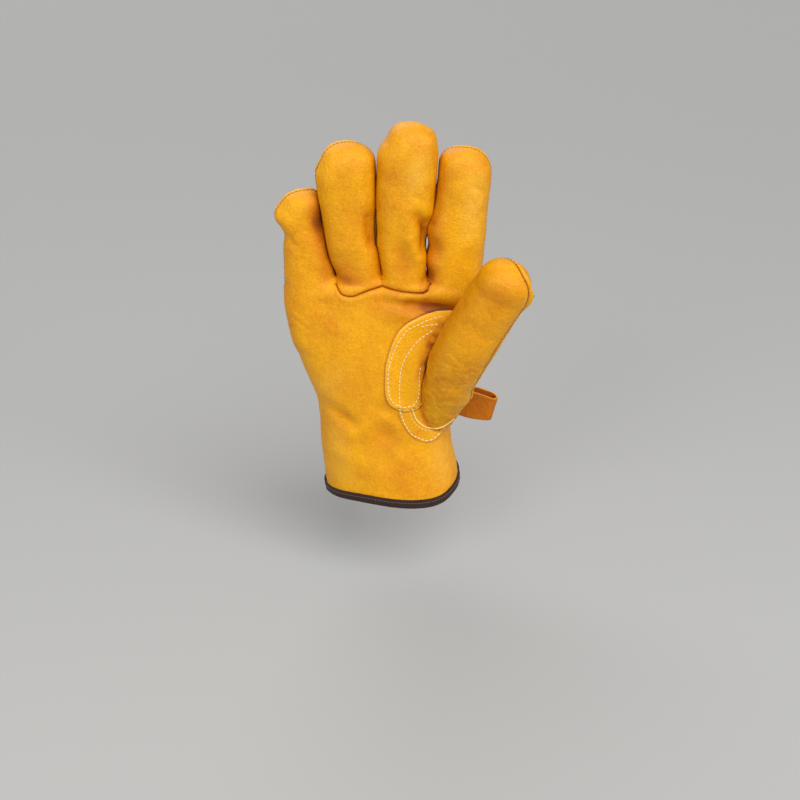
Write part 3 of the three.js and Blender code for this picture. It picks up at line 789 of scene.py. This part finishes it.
def slit_distance(points):
    x, y, z = points.T
    share = np.clip((z - SLIT["bottom"]) / (SLIT["top"] - SLIT["bottom"]), 0, 1)
    half = SLIT["bottom_half"] + (SLIT["top_half"] - SLIT["bottom_half"]) * share
    x = x - SLIT["x"]
    flat = np.where(z > SLIT["top"], np.hypot(x, z - SLIT["top"]), np.abs(x)) - half
    return np.where(y > 4, flat, FAR)


def edge_distance(points):
    """How far points are from the cuff's rim or from the slit, below zero outside the leather."""
    return np.minimum(points[:, 2] - rim_height(points), slit_distance(points))


def thumb_distance(points):
    return np.where(points[:, 2] < THUMB_TO, digits["thumb"].field(points), FAR)


def outline_field(curve, side):
    """The distance from an outline on the palm, where side is -1, or on the back, where it is 1."""
    return lambda points: np.where(points[:, 1] * side > 0, outline_distance(points, curve), FAR)


# What the hand's skin is cut along, and at which distances from it. The first three are seams of the spread hand.
PATCH_LEVELS = (0, -0.3, -0.9, 0.5)
THUMB_LEVELS = (-HIDDEN, -0.8, 0, 0.8)
CUTS = {
    "front": (seam_distance, (0, -0.6, 0.6, -STITCH_ROW)),
    "gusset": (gusset_edge, (0, 0.6)),
    "base": (base_distance, (0, -0.5, 0.5)),
    "edge": (edge_distance, (0, 0.35, 1.0, TAPE_ROW, TAPE_WIDTH, TAPE_WIDTH - 0.4)),
    "palm_patch": (outline_field(smooth_outline(PALM_PATCH), -1), PATCH_LEVELS),
    "knuckle_patch": (outline_field(rounded(KNUCKLE_PATCH, KNUCKLE_CORNER), 1), PATCH_LEVELS),
    "crescent": (outline_field(smooth_outline(CRESCENT), -1), (0, -0.5)),
    "thumb": (thumb_distance, THUMB_LEVELS),
}
SPREAD_CUTS = ("front", "gusset", "base")


def distances(spread, closed):
    """Every distance at points that are given where they are in the spread hand and in the glove."""
    return {name: field(spread if name in SPREAD_CUTS else closed) for name, (field, _) in CUTS.items()}


class Hand(Skin):
    """The hand's whole skin, cut along every seam and edge, with its distances from them at each point."""

    def __init__(self):
        super().__init__(spread_field, HAND_BOX)
        for field, levels in CUTS.values():
            for level in levels:
                self.cut(field(self.points) - level)
        for i in range(3):
            in_front = (self.points[:, 2] > GAPS_FROM) & (seam_distance(self.points) < 1.5)
            self.cut(np.where(in_front, self.points[:, 0] - gap_lines(self.points[:, 2])[i], 0.0))
        self.middle_points = self.middles()
        self.middles = distances(self.middle_points, self.middle_points)
        closed, weights = close_fingers(self.points)
        self.at = distances(self.points, closed)
        front, gusset, base, _, palm_patch, knuckle_patch, crescent, in_thumb = self.at.values()
        self.points = closed
        normals = self.point_normals()
        x, y, z = closed.T

        depth = groove(front)
        at_tips = ease((z - 168) / 10) * ease((0.25 + normals[:, 2]) / 0.5)
        # Painted shade along the palm seam's groove, weaker at the fingertips.
        soft_seam_shade = np.clip(-depth * 1.1, 0, 1) * (0.85 - 0.55 * at_tips)
        flange = at_tips * bell(front - 1.3, 0.7)
        plain_depth = depth.copy()
        at_gusset = np.clip(front - gusset, 0, 3) / 3 * ease((knuckle_patch - 0.3) / 1.2)
        depth += at_gusset * groove(gusset, 0.6, 0.8, 0.15)
        on_base = ease((x + 34.8) / 1.5) * ease((23.4 - x) / 1.5)
        on_base *= ease(-normals[:, 1] * 3)
        depth += on_base * groove(base, 0.9, 0.7, 0.4)
        depth += groove(in_thumb, 0.5, 0.9, 0.1)
        # Painted shade in the grooves of the gusset, base and thumb seams.
        seams = np.clip(-(depth - plain_depth) * 1.1, 0, 1)
        depth += 0.35 * flange
        depth += 0.8 * ease(-crescent / 0.7) * ease(palm_patch + 1)

        palm_folds = fold_depth(closed, PALM_FOLDS)
        # Painted shade and painted highlights from the tables; a finger's own only above its base.
        painted_shading = fold_depth(closed, PALM_PAINTED_SHADING)
        outline = np.zeros(len(closed))
        for name, weight in zip(FINGERS, weights):
            own = np.where(z > FOLDS_FROM, weight, 0)
            palm_folds += own * fold_depth(closed, FINGER_FOLDS[name])
            painted_shading += own * fold_depth(closed, FINGER_PAINTED_SHADING[name])
            outline += own * push_out(closed, PUSHES[name])
        pleats = pleat_depth(closed, normals)
        folds = relief(closed, normals, palm_folds) + pleats

        beside_patch = np.minimum(np.abs(palm_patch - 0.4), np.abs(knuckle_patch - 0.4))
        worn = ease((8 - in_thumb) / 5) * ease((z - 82) / 8)
        worn *= ease((127 - z) / 5) * ease((x - 12) / 6) * (y < 0)
        rough = 0.3 * bumps(closed, 2.2, 8) + 0.25 * bumps(closed, 4.1, 9)
        # Painted shade in the seams, in the dents of the folds and pleats, and as a thin line along the patches'
        # edges; paler along the fingertip flange.
        self.painted_light_and_tone = soft_seam_shade + seams * 0.85 + 0.1 * np.clip(-folds - 0.6, 0, 2)
        self.painted_light_and_tone += 0.5 * bell(beside_patch, 0.6) + 0.22 * np.clip(-pleats - 0.4, 0, 2) - 0.3 * flange
        # The tables' painted shade and painted highlights, on the palm side outside the palm patch.
        self.painted_light_and_tone += painted_shading * ease(-normals[:, 1] * 2 + 0.6) * (palm_patch > 0)
        self.painted_light_and_tone += worn * (0.5 + 0.5 * bumps(closed, 3.0, 10))
        self.finish(depth + folds + outline + worn * rough)


class Thumb(Skin):
    """The thumb's skin, cut along its seam and where it goes into the hand."""

    def __init__(self):
        digit = digits["thumb"]
        super().__init__(digit.field, THUMB_BOX, STEP * 0.85)
        across, outward, along = digit.axes

        def behind_seam(p):
            q = p - digit.root
            up = q @ along - digit.length
            twist = ease((-4 - up) / 34) - ease((-56 - up) / 30)
            roll = THUMB_SEAM_ROLL + THUMB_SEAM_TWIST * twist
            pull = 2.2 * np.exp(-np.linalg.norm(p - THUMB_CORNER, axis=-1) / 4.0)
            over_tip = ease((up + 24) / 42) * ease((8 - q @ across) / 12)
            return np.cos(roll) * (q @ outward) - np.sin(roll) * (q @ across) - 8 * over_tip - pull

        for level in (0, 0.6, -0.6, 1.6, 2.6, -STITCH_ROW):
            self.cut(behind_seam(self.points) - level)
        for level in THUMB_LEVELS:
            self.cut(hand_field(self.points) - level)
        self.triangles = self.triangles[hand_field(self.middles()) > -HIDDEN]
        self.is_front = behind_seam(self.middles()) < 0
        plain = self.points
        from_seam = self.from_seam = behind_seam(plain)
        from_hand = self.from_hand = hand_field(plain)
        corner = np.linalg.norm(plain - THUMB_CORNER, axis=1)
        edge_side = ease((plain - digit.root) @ across / 6)

        depth = groove(from_seam, 0.75, 0.7, 0.1)
        depth += (0.9 + 1.2 * bell(corner, 7.0)) * edge_side * bell(from_seam - 1.7, 1.0)
        depth += groove(from_hand, 0.5, 0.9, 0.1)
        folds = relief(plain, self.point_normals(), fold_depth(plain, THUMB_FOLDS))
        folds += 3.3 * np.exp(-corner / 2.8) + push_out(plain, THUMB_PUSHES)
        wrinkled = ease((122 - plain[:, 2]) / 22)
        wrinkles = bumps(plain * [1.0, 1.0, 1.6], 2.8, 12)
        folds += 0.2 * wrinkles * wrinkled

        flange = edge_side * bell(from_seam - 2.0, 0.9)
        # A painted highlight along the front of the seam near the thumb's tip.
        painted_highlight = bell(from_seam + 2.6, 1.1) * bell(np.maximum(corner - 4, 0), 7) * edge_side
        # Painted shade in the seam groove and from the thumb's table, a little darker overall, paler along the flange.
        self.painted_light_and_tone = np.clip(-depth, 0, 1) - 0.3 * flange - 0.45 * painted_highlight + 0.06 + fold_depth(plain, THUMB_PAINTED_SHADING)
        # Painted shadow where the thumb goes into the hand.
        self.painted_light_and_tone += 0.5 * np.exp(-np.maximum(from_hand, 0) / 1.6)
        # On the thumb's lower part: darker in the wrinkles' hollows and paler on their crests, painted shade and
        # light, with random colour.
        self.painted_light_and_tone += wrinkled * (0.14 * bumps(plain, 1.9, 15) - 0.14 * wrinkles)
        self.finish(depth + folds)


def rounding(distance, radius):
    """From 0 at an edge to 1 at a distance from it, along a quarter circle."""
    t = np.clip(distance / radius, 0, 1)
    return np.sqrt(1 - (1 - t) ** 2)


class Maker:
    """Builds one material's nodes."""

    def __init__(self, name):
        self.material = bpy.data.materials.new(name)
        self.material.use_nodes = True
        self.tree = self.material.node_tree
        self.place = self.add("TexCoord", output="Object")

    def fill(self, node, inputs):
        for key, value in inputs.items():
            if isinstance(value, bpy.types.NodeSocket):
                self.tree.links.new(value, node.inputs[key])
            else:
                node.inputs[key].default_value = value

    def add(self, kind, inputs=None, output=0, **values):
        node = self.tree.nodes.new("ShaderNode" + kind)
        for key, value in values.items():
            setattr(node, key, value)
        self.fill(node, inputs or {})
        return node.outputs[output]

    def noise(self, scale, detail=3.0, rough=0.55, stretch=None):
        vector = self.add("Mapping", {"Vector": self.place, "Scale": stretch}) if stretch else self.place
        return self.add("TexNoise", {"Vector": vector, "Scale": scale, "Detail": detail, "Roughness": rough})

    def cells(self, scale, randomness):
        return self.add("TexVoronoi", {"Vector": self.place, "Scale": scale, "Randomness": randomness})

    def math(self, operation, a, b):
        return self.add("Math", {0: a, 1: b}, operation=operation)

    def ranged(self, value, low, high, to_low=0.0, to_high=1.0):
        inputs = {"Value": value, "From Min": low, "From Max": high, "To Min": to_low, "To Max": to_high}
        return self.add("MapRange", inputs, clamp=True)

    def mix(self, share, a, b):
        """A mix of two colours; the node keeps its colour sockets at 6 and 7, and the mixed colour at 2."""
        return self.add("Mix", {0: share, 6: a, 7: b}, 2, data_type="RGBA")

    def bump(self, height, strength, distance, below=None):
        inputs = {"Height": height, "Strength": strength, "Distance": distance}
        return self.add("Bump", inputs if below is None else inputs | {"Normal": below})

    def finish(self, colour, normal, rough, specular=0.5, sheen=0.0):
        inputs = {"Base Color": colour, "Normal": normal, "Roughness": rough}
        inputs |= {"Specular IOR Level": specular, "Sheen Weight": sheen}
        self.fill(self.tree.nodes["Principled BSDF"], inputs)
        return self.material


def srgb(*values):
    return (*[(v / 255 / 12.92) if v <= 10 else ((v / 255 + 0.055) / 1.055) ** 2.4 for v in values], 1.0)


def leather_material(name, light, deep, rough, grain, nap):
    m = Maker(name)
    blotches = m.ranged(m.noise(26, 4, 0.6), 0.42, 0.72)
    cloud = m.ranged(m.noise(95, 4, 0.6), 0.4, 0.75)
    hairs = m.ranged(m.noise(420, 5, 0.7, (1.6, 1.0, 0.7)), 0.35, 0.75)
    grains = m.ranged(m.noise(880, 4, 0.75), 0.36, 0.64)
    share = m.math("MULTIPLY", blotches, 0.34)
    for layer, amount in ((cloud, 0.26), (hairs, nap), (grains, 0.32)):
        share = m.math("ADD", share, m.math("MULTIPLY", layer, amount))
    colour = m.mix(share, light, deep)
    painted_light_and_tone = m.add("Attribute", output="Fac", attribute_name="painted_light_and_tone")
    # Above zero the colour mixes towards browns: painted shade, with the worn suede. Below zero it mixes towards a
    # pale colour: painted highlights, with the pale cut edges.
    colour = m.mix(m.ranged(painted_light_and_tone, 0, 0.7, 0, 0.85), colour, srgb(186, 92, 2))
    colour = m.mix(m.ranged(painted_light_and_tone, 0.5, 1.0), colour, srgb(104, 48, 5))
    colour = m.mix(m.ranged(painted_light_and_tone, 0, -1), colour, srgb(255, 214, 104))
    normal = m.bump(m.cells(1100, 1.0), grain, 0.0002)
    normal = m.bump(m.noise(620, 5, 0.7), grain * 1.4, 0.0007, normal)
    normal = m.bump(m.noise(230, 3, 0.6, (1.0, 1.0, 1.6)), 0.3, 0.0007, normal)
    normal = m.bump(m.noise(110, 3, 0.5), 0.45, 0.0009, normal)
    roughness = m.ranged(m.noise(60, 3), 0.3, 0.7, rough - 0.06, rough + 0.1)
    return m.finish(colour, normal, roughness, 0.27)


def tape_material():
    m = Maker("woven_tape")
    share = m.ranged(m.noise(700, 4, 0.7), 0.3, 0.75)
    colour = m.mix(share, srgb(60, 39, 34), srgb(31, 20, 17))
    inputs = {"Vector": m.place, "Scale": 560.0, "Distortion": 0.4, "Detail": 1.0}
    waves = [m.add("TexWave", inputs, "Fac", bands_direction=direction) for direction in ("X", "Y", "Z")]
    weave = m.math("MULTIPLY", m.math("ADD", waves[0], waves[1]), m.math("ADD", waves[2], 0.4))
    return m.finish(colour, m.bump(weave, 0.5, 0.00018), 0.78, 0.2, 0.08)


def thread_material(name, colour, dark):
    m = Maker(name)
    share = m.ranged(m.noise(1800, 2), 0.35, 0.7)
    return m.finish(m.mix(share, colour, dark), m.bump(m.noise(2600, 2), 0.4, 0.0001), 0.7, 0.3, 0.2)


def pad_material():
    m = Maker("hook_and_loop")
    share = m.ranged(m.noise(900, 3, 0.7), 0.35, 0.7)
    colour = m.mix(share, srgb(244, 243, 238), srgb(205, 204, 198))
    return m.finish(colour, m.bump(m.cells(1300, 0.5), 0.9, 0.0004), 0.9, sheen=0.3)


def floor_material():
    m = Maker("studio_floor")
    return m.finish((0.385, 0.385, 0.382, 1), m.bump(m.noise(60), 0.02, 0.001), 0.85, 0.1)


def ring_faces(rings, sides, start=0):
    """The faces of a closed tube through rings of points, with a fan at each end."""
    faces = []
    for ring in range(start, start + (rings - 1) * sides, sides):
        for k in range(sides):
            a, b = ring + k, ring + (k + 1) % sides
            faces += [(a, b, b + sides), (a, b + sides, a + sides)]
    last = start + (rings - 1) * sides
    for k in range(1, sides - 1):
        faces += [(start, start + k + 1, start + k), (last, last + k, last + k + 1)]
    return faces


def tube(paths, radius, sides=6):
    """Round threads through lists of points, closed at both ends, as one mesh."""
    turns = np.arange(sides) * 2 * math.pi / sides
    points = []
    faces = []
    for path in paths:
        along = unit(np.gradient(path, axis=0))
        path = np.vstack([path[0] - along[0] * radius * 0.7, path, path[-1] + along[-1] * radius * 0.7])
        along = np.vstack([along[0], along, along[-1]])
        side = unit(np.cross(along, np.where(np.abs(along[:, [1]]) < 0.8, [[0, 1.0, 0]], [[1.0, 0, 0]])))
        up = np.cross(side, along)
        sizes = np.full(len(path), radius)
        sizes[[0, -1]] *= 0.45
        ring = side[:, None] * np.cos(turns)[None, :, None] + up[:, None] * np.sin(turns)[None, :, None]
        faces += ring_faces(len(path), sides, sum(len(rings) for rings in points))
        points.append((path[:, None] + ring * sizes[:, None, None]).reshape(-1, 3))
    return np.concatenate(points), np.array(faces)


def dashes(points, pitch, length, steps=4):
    """Short pieces of a line, at a pitch."""
    points = np.array(points, float)
    at = np.concatenate([[0], np.cumsum(np.linalg.norm(np.diff(points, axis=0), axis=1))])
    out = []
    for k in range(int(at[-1] // pitch)):
        start = (k + 0.5) * pitch - length / 2
        out.append(np.column_stack(columns(points, at, np.linspace(start, start + length, steps))))
    return out


class Surface:
    """Finds the outermost leather in front of or behind a place."""

    def __init__(self, solids):
        starts = np.cumsum([0] + [len(points) for points, *_ in solids])
        points = np.concatenate([solid[0] for solid in solids])
        faces = np.concatenate([solid[1] + start for solid, start in zip(solids, starts)])
        self.tree = BVHTree.FromPolygons(points.tolist(), faces.tolist())

    def onto(self, lines, side, lift):
        """Lines in X and Z laid above the surface; side is -1 for the palm and 1 for the back."""
        out = []
        for line in lines:
            placed = []
            for x, z in line:
                hit, normal, _, _ = self.tree.ray_cast(Vector((x, 150.0 * side, z)), Vector((0, -side, 0)))
                if hit is not None:
                    facing = 1 if normal.y * side >= 0 else -1
                    placed.append(np.array(hit) + facing * np.array(normal) * lift)
            if len(placed) > 1:
                out.append(np.array(placed))
        return out


def band_over(band, level, levels, heights, width=math.inf):
    """A closed solid over the back of the hand, at a level above it: a band with one round end, or only its border."""
    skin = Skin(lambda p: hand_field(p) - level, STRAP_BOX)
    for at in levels:
        skin.cut(strap_distance(skin.points, band) - at)
    middles = skin.middles()
    inside = -strap_distance(middles, band)
    skin.triangles = skin.triangles[(inside > -levels[0]) & (inside < width) & (middles[:, 1] > STRAP_FROM)]
    points, triangles, normals = tidy(skin.points, skin.triangles, skin.point_normals())
    sunk = -2.6 * (1 - ease((points[:, 1] - STRAP_FROM) / 8))
    solid, faces, _ = thicken(points, triangles, normals, *heights(-strap_distance(points, band), sunk))
    return solid, faces, np.zeros(len(solid))


def strap_heights(inside, sunk):
    return sunk, sunk + STRAP_THICK


def binding_heights(inside, sunk):
    half = 0.05 + 1.35 * rounding(inside, 1.2) - 0.4 * (1 - rounding(STRAP_TAPE_WIDTH - inside, 0.4))
    return np.maximum(1.3 * sunk - half, -4.2), 1.3 * sunk + half


def pad_heights(inside, sunk):
    return np.zeros(len(inside)), 0.3 + rounding(inside, 0.6)


def sweep_loop():
    """The hang loop: a strip bent into a narrow U."""
    half = (LOOP["thick"] - LOOP["leather"]) / 2
    turn_at = LOOP["reach"] - LOOP["thick"] / 2
    leg = [(u, half * (0.5 + 0.5 * ease((u + 2) / 16))) for u in np.linspace(-8, turn_at, 22)]
    bend = [(turn_at + half * math.sin(a), -half * math.cos(a)) for a in np.linspace(0, math.pi, 14)[1:-1]]
    track = np.array([(u, -v) for u, v in leg] + bend + leg[::-1])
    along = unit(np.gradient(track, axis=0))
    edge = LOOP["wide"] / 2
    thin = LOOP["leather"] / 2
    section = [(w, thin) for w in np.linspace(-edge + 0.4, edge - 0.4, 14)]
    section += [(edge - 0.1, thin * 0.7), (edge, 0.0), (edge - 0.1, -thin * 0.7)]
    section += [(-w, -h) for w, h in section]
    # Painted shade on the loop's inner faces; its cut edges are paler.
    shade = np.tile([0.0 if h == thin else 0.6 if h == -thin else -0.35 for _, h in section], len(track))
    points = []
    for (u, v), (du, dv) in zip(track, along):
        for w, h in section:
            sag = 0.5 * math.sin(u * 0.22 + 1) * (w / edge)
            narrower = 1 - LOOP_TAPER * min(max(u / LOOP["reach"], 0), 1) - 0.03 * math.sin(u * 0.3)
            points.append((u + dv * h, v - du * h + sag * 0.6, w * narrower))
    u, v, w = np.array(points).T
    cos, sin = math.cos(LOOP["droop"]), math.sin(LOOP["droop"])
    turned = np.column_stack([u * cos + w * sin + LOOP["x"], v + LOOP["y"], -u * sin + w * cos + LOOP["z"]])
    turned += 0.25 * np.column_stack([bumps(turned, 7, s) for s in (5, 6, 7)])
    return turned, np.array(ring_faces(len(track), len(section)))[:, ::-1], shade


hand = Hand()
thumb = Thumb()
at = hand.at
where = hand.middles
x_middle, _, z_middle = hand.middle_points.T
gaps = gap_lines(z_middle)
lines = centre_lines(z_middle)
is_leather = (where["edge"] > LEATHER_START) & (where["thumb"] > -HIDDEN)
is_front = where["front"] < 0
is_gusset = ~is_front & (where["gusset"] < 0) & (z_middle > GUSSETS_FROM)
panels = {}
for i, name in enumerate(("ring_front", "middle_front")):
    panels[name] = is_front & (where["base"] > 0) & (x_middle > gaps[i]) & (x_middle < gaps[i + 1])
set_in = panels["ring_front"] | panels["middle_front"]
for i, name in enumerate(("gusset_pinky_ring", "gusset_ring_middle", "gusset_middle_index")):
    panels[name] = is_gusset & (x_middle > lines[i][0]) & (x_middle < lines[i + 1][0])
panels["palm_leather"] = is_front & ~set_in
panels["back_leather"] = ~is_front & ~is_gusset

golden = leather_material("golden_leather", srgb(243, 178, 6), srgb(202, 118, 2), 0.42, 0.55, 0.28)
suede = leather_material("golden_suede", srgb(254, 189, 14), srgb(222, 140, 5), 0.7, 0.8, 0.24)
red_suede = leather_material("red_suede", srgb(210, 122, 6), srgb(158, 76, 3), 0.8, 0.9, 0.4)
tape = tape_material()
white_thread = thread_material("white_thread", srgb(248, 238, 205), srgb(222, 200, 150))
brown_thread = thread_material("brown_thread", srgb(78, 38, 12), srgb(48, 24, 9))
pale_edge = thread_material("pale_edge", srgb(250, 222, 140), srgb(236, 188, 84))
tape_thread = thread_material("tape_thread", srgb(118, 92, 78), srgb(84, 62, 52))
hooks = pad_material()

solids = {name: hand.part(chosen & is_leather, -LEATHER, 0.0) for name, chosen in panels.items()}
solids["thumb_front"] = thumb.part(thumb.is_front, -LEATHER, 0.0)
solids["thumb_back"] = thumb.part(~thumb.is_front, -LEATHER, 0.0)
for name, solid in solids.items():
    make_object(name + "_skin", solid, golden, name)

patches = {"palm_patch": (is_front & (where["thumb"] > -0.8), 0.75), "knuckle_patch": (~is_front, 0.6)}
for name, (allowed, rim) in patches.items():
    top = 0.1 + (PATCH_HIGH - 0.1) * rounding(-at[name], 0.9)
    pale = rim * bell(at[name], 0.7)
    solids[name] = hand.part((where[name] < 0) & allowed, 0.02, top, np.where(pale > 0.05, pale, 0))
    make_object(name + "_skin", solids[name], suede, name)

ends = 0.8 * (1 - rounding(TAPE_WIDTH - at["edge"], 0.5))
tape_half = 0.05 + (TAPE_HIGH + LEATHER / 2) * rounding(at["edge"], 1.2) - ends
chosen = (where["edge"] > 0) & (where["edge"] < TAPE_WIDTH)
solids["cuff_binding"] = hand.part(chosen, -LEATHER / 2 - tape_half, -LEATHER / 2 + tape_half)
make_object("cuff_binding_tape", solids["cuff_binding"], tape, "cuff_binding")

strap = band_over(STRAP, STRAP_LEVEL, (-0.5, -1.0), strap_heights)
make_object("wrist_strap_suede", strap, suede, "wrist_strap")
binding_levels = (0, -0.15, -0.5, -1.2, -STRAP_TAPE_WIDTH + 0.4, -STRAP_TAPE_WIDTH)
binding = band_over(STRAP, BINDING_LEVEL, binding_levels, binding_heights, STRAP_TAPE_WIDTH)
make_object("strap_binding_tape", binding, tape, "strap_binding")
pad = band_over(CLOSURE_PAD, PAD_LEVEL, (0, -0.3), pad_heights)
make_object("closure_pad_hooks", pad, hooks, "closure_pad")
make_object("hang_loop_suede", sweep_loop(), red_suede, "hang_loop")

covers = Surface(list(solids.values()) + [strap, binding])
palm_rows = []
for row in PALM_STITCHES:
    palm_rows += dashes(smooth_outline(row, False), WHITE_PITCH, WHITE_LENGTH)
centre = KNUCKLE_PATCH.mean(0)
inset = rounded(centre + (KNUCKLE_PATCH - centre) * KNUCKLE_ROW["shares"], KNUCKLE_ROW["corner"])
back_rows = dashes(np.vstack([inset, inset[:1]]), WHITE_PITCH + KNUCKLE_ROW["extra_pitch"], WHITE_LENGTH)
for x in ROOT_ROWS["x"]:
    back_rows += dashes([[x, ROOT_ROWS["low"]], [x, ROOT_ROWS["high"]]], WHITE_PITCH, WHITE_LENGTH)
white = covers.onto(palm_rows, -1, WHITE_RADIUS * 0.5) + covers.onto(back_rows, 1, WHITE_RADIUS * 0.5)
make_object("white_stitches", tube(white, WHITE_RADIUS), white_thread)

corners = []
x = ZIGZAG["right"]
while x > ZIGZAG["left"]:
    k = len(corners)
    z = ZIGZAG["z"] + (38 - x) * ZIGZAG["climb"] + (-1) ** k * ZIGZAG["high"]
    corners.append([x + 0.5 * math.sin(k * 1.7), z + 0.6 * math.sin(k * 2.3)])
    x -= ZIGZAG["pitch"]
zigzag = covers.onto([smooth_outline(corners, False, 8)], 1, 0.2)
make_object("elastic_zigzag", tube(zigzag, 0.38), white_thread)
base_edge = covers.onto([smooth_outline(BASE_EDGE, False, 8)], -1, 0.15)
make_object("thumb_base_edge", tube(base_edge, 0.5), pale_edge)
base_rows = covers.onto(dashes(smooth_outline(BASE_STITCHES, False), 2.4, 1.2), -1, 0.1)
make_object("thumb_base_stitches", tube(base_rows, 0.2), pale_edge)

chosen = is_front & is_leather & (z_middle > STITCHES_FROM)
dark = hand.stitches(at["front"] + STITCH_ROW, chosen, DARK_PITCH, DARK_LENGTH, 0.05)
thumb_seam = np.where(thumb.from_hand > 1, thumb.from_seam + STITCH_ROW, FAR)
dark += thumb.stitches(thumb_seam, thumb.is_front, DARK_PITCH, DARK_LENGTH, 0.05)
make_object("seam_stitches", tube(dark, DARK_RADIUS, 5), brown_thread)
rows = hand.stitches(at["edge"] - TAPE_ROW, where["edge"] > 0, TAPE_PITCH, TAPE_LENGTH, TAPE_HIGH + 0.05)
middle_z, end_radius, end_x = round_end(STRAP)
end_radius -= 3.2
turns = np.linspace(0, math.pi, 30)
edge_row = [(x, middle_z - end_radius) for x in np.linspace(-44, end_x, 30)]
edge_row += [(end_x + end_radius * math.sin(a), middle_z - end_radius * math.cos(a)) for a in turns]
edge_row += [(x, middle_z + end_radius) for x in np.linspace(end_x, -44, 30)]
rows += covers.onto(dashes(edge_row, TAPE_PITCH, TAPE_LENGTH), 1, 0.05)
make_object("tape_stitches", tube(rows, TAPE_RADIUS, 5), tape_thread)

FLOOR_REACH = 40.0
FLOOR_Z = -0.075
scene = bpy.context.scene
floor = bpy.data.meshes.new("studio_floor")
floor_corners = [(x * FLOOR_REACH, y * FLOOR_REACH, FLOOR_Z) for x, y in ((-1, -1), (1, -1), (1, 1), (-1, 1))]
floor.from_pydata(floor_corners, [], [(0, 1, 2, 3)])
floor.materials.append(floor_material())
floor_piece = bpy.data.objects.new("studio_floor", floor)
scene.collection.objects.link(floor_piece)
floor_piece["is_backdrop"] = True

camera_data = bpy.data.cameras.new("camera")
camera_data.lens = 45
camera_data.sensor_width = 36
camera_data.clip_end = 200
camera = bpy.data.objects.new("camera", camera_data)
camera.location = (0.0044, -0.5684, 0.3444)
camera.rotation_euler = (math.radians(63.1), 0, 0)
scene.collection.objects.link(camera)
scene.camera = camera

# Lights: kind, place, what each points at, power, size (a sun's angle, a disk's width), colour.
LIGHTS = {
    "sky_panel": ("SUN", (0.4, -0.95, 1.3), (0, 0, 0.1), 2.3, math.radians(45), (1.0, 0.985, 0.96)),
    "rear_panel": ("SUN", (-0.5, 1.0, 1.1), (0, 0, 0.1), 1.3, math.radians(60), (1.0, 0.99, 0.97)),
    "near_panel": ("AREA", (-0.45, -0.75, 0.6), (0, 0, 0.12), 3.0, 0.4, (1.0, 0.99, 0.97)),
    "side_panel": ("AREA", (0.6, -0.45, 0.5), (0, 0, 0.14), 1.6, 0.3, (1.0, 0.99, 0.97)),
}
for name, (kind, place, target, energy, size, colour) in LIGHTS.items():
    data = bpy.data.lights.new(name, kind)
    data.energy = energy
    data.color = colour
    if kind == "AREA":
        data.shape = "DISK"
        data.size = size
    else:
        data.angle = size
    piece = bpy.data.objects.new(name, data)
    piece.location = place
    piece.rotation_euler = (Vector(target) - Vector(place)).to_track_quat("-Z", "Y").to_euler()
    scene.collection.objects.link(piece)

world = bpy.data.worlds.new("studio")
world.use_nodes = True
background = world.node_tree.nodes["Background"].inputs
background["Color"].default_value = (0.95, 0.97, 1.0, 1)
background["Strength"].default_value = 0.29
scene.world = world
scene.view_settings.view_transform = "Standard"

boxes = {"cad": cad_bounds, "visual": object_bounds()}
{name: [list(low), list(high)] for name, (low, high) in boxes.items()}
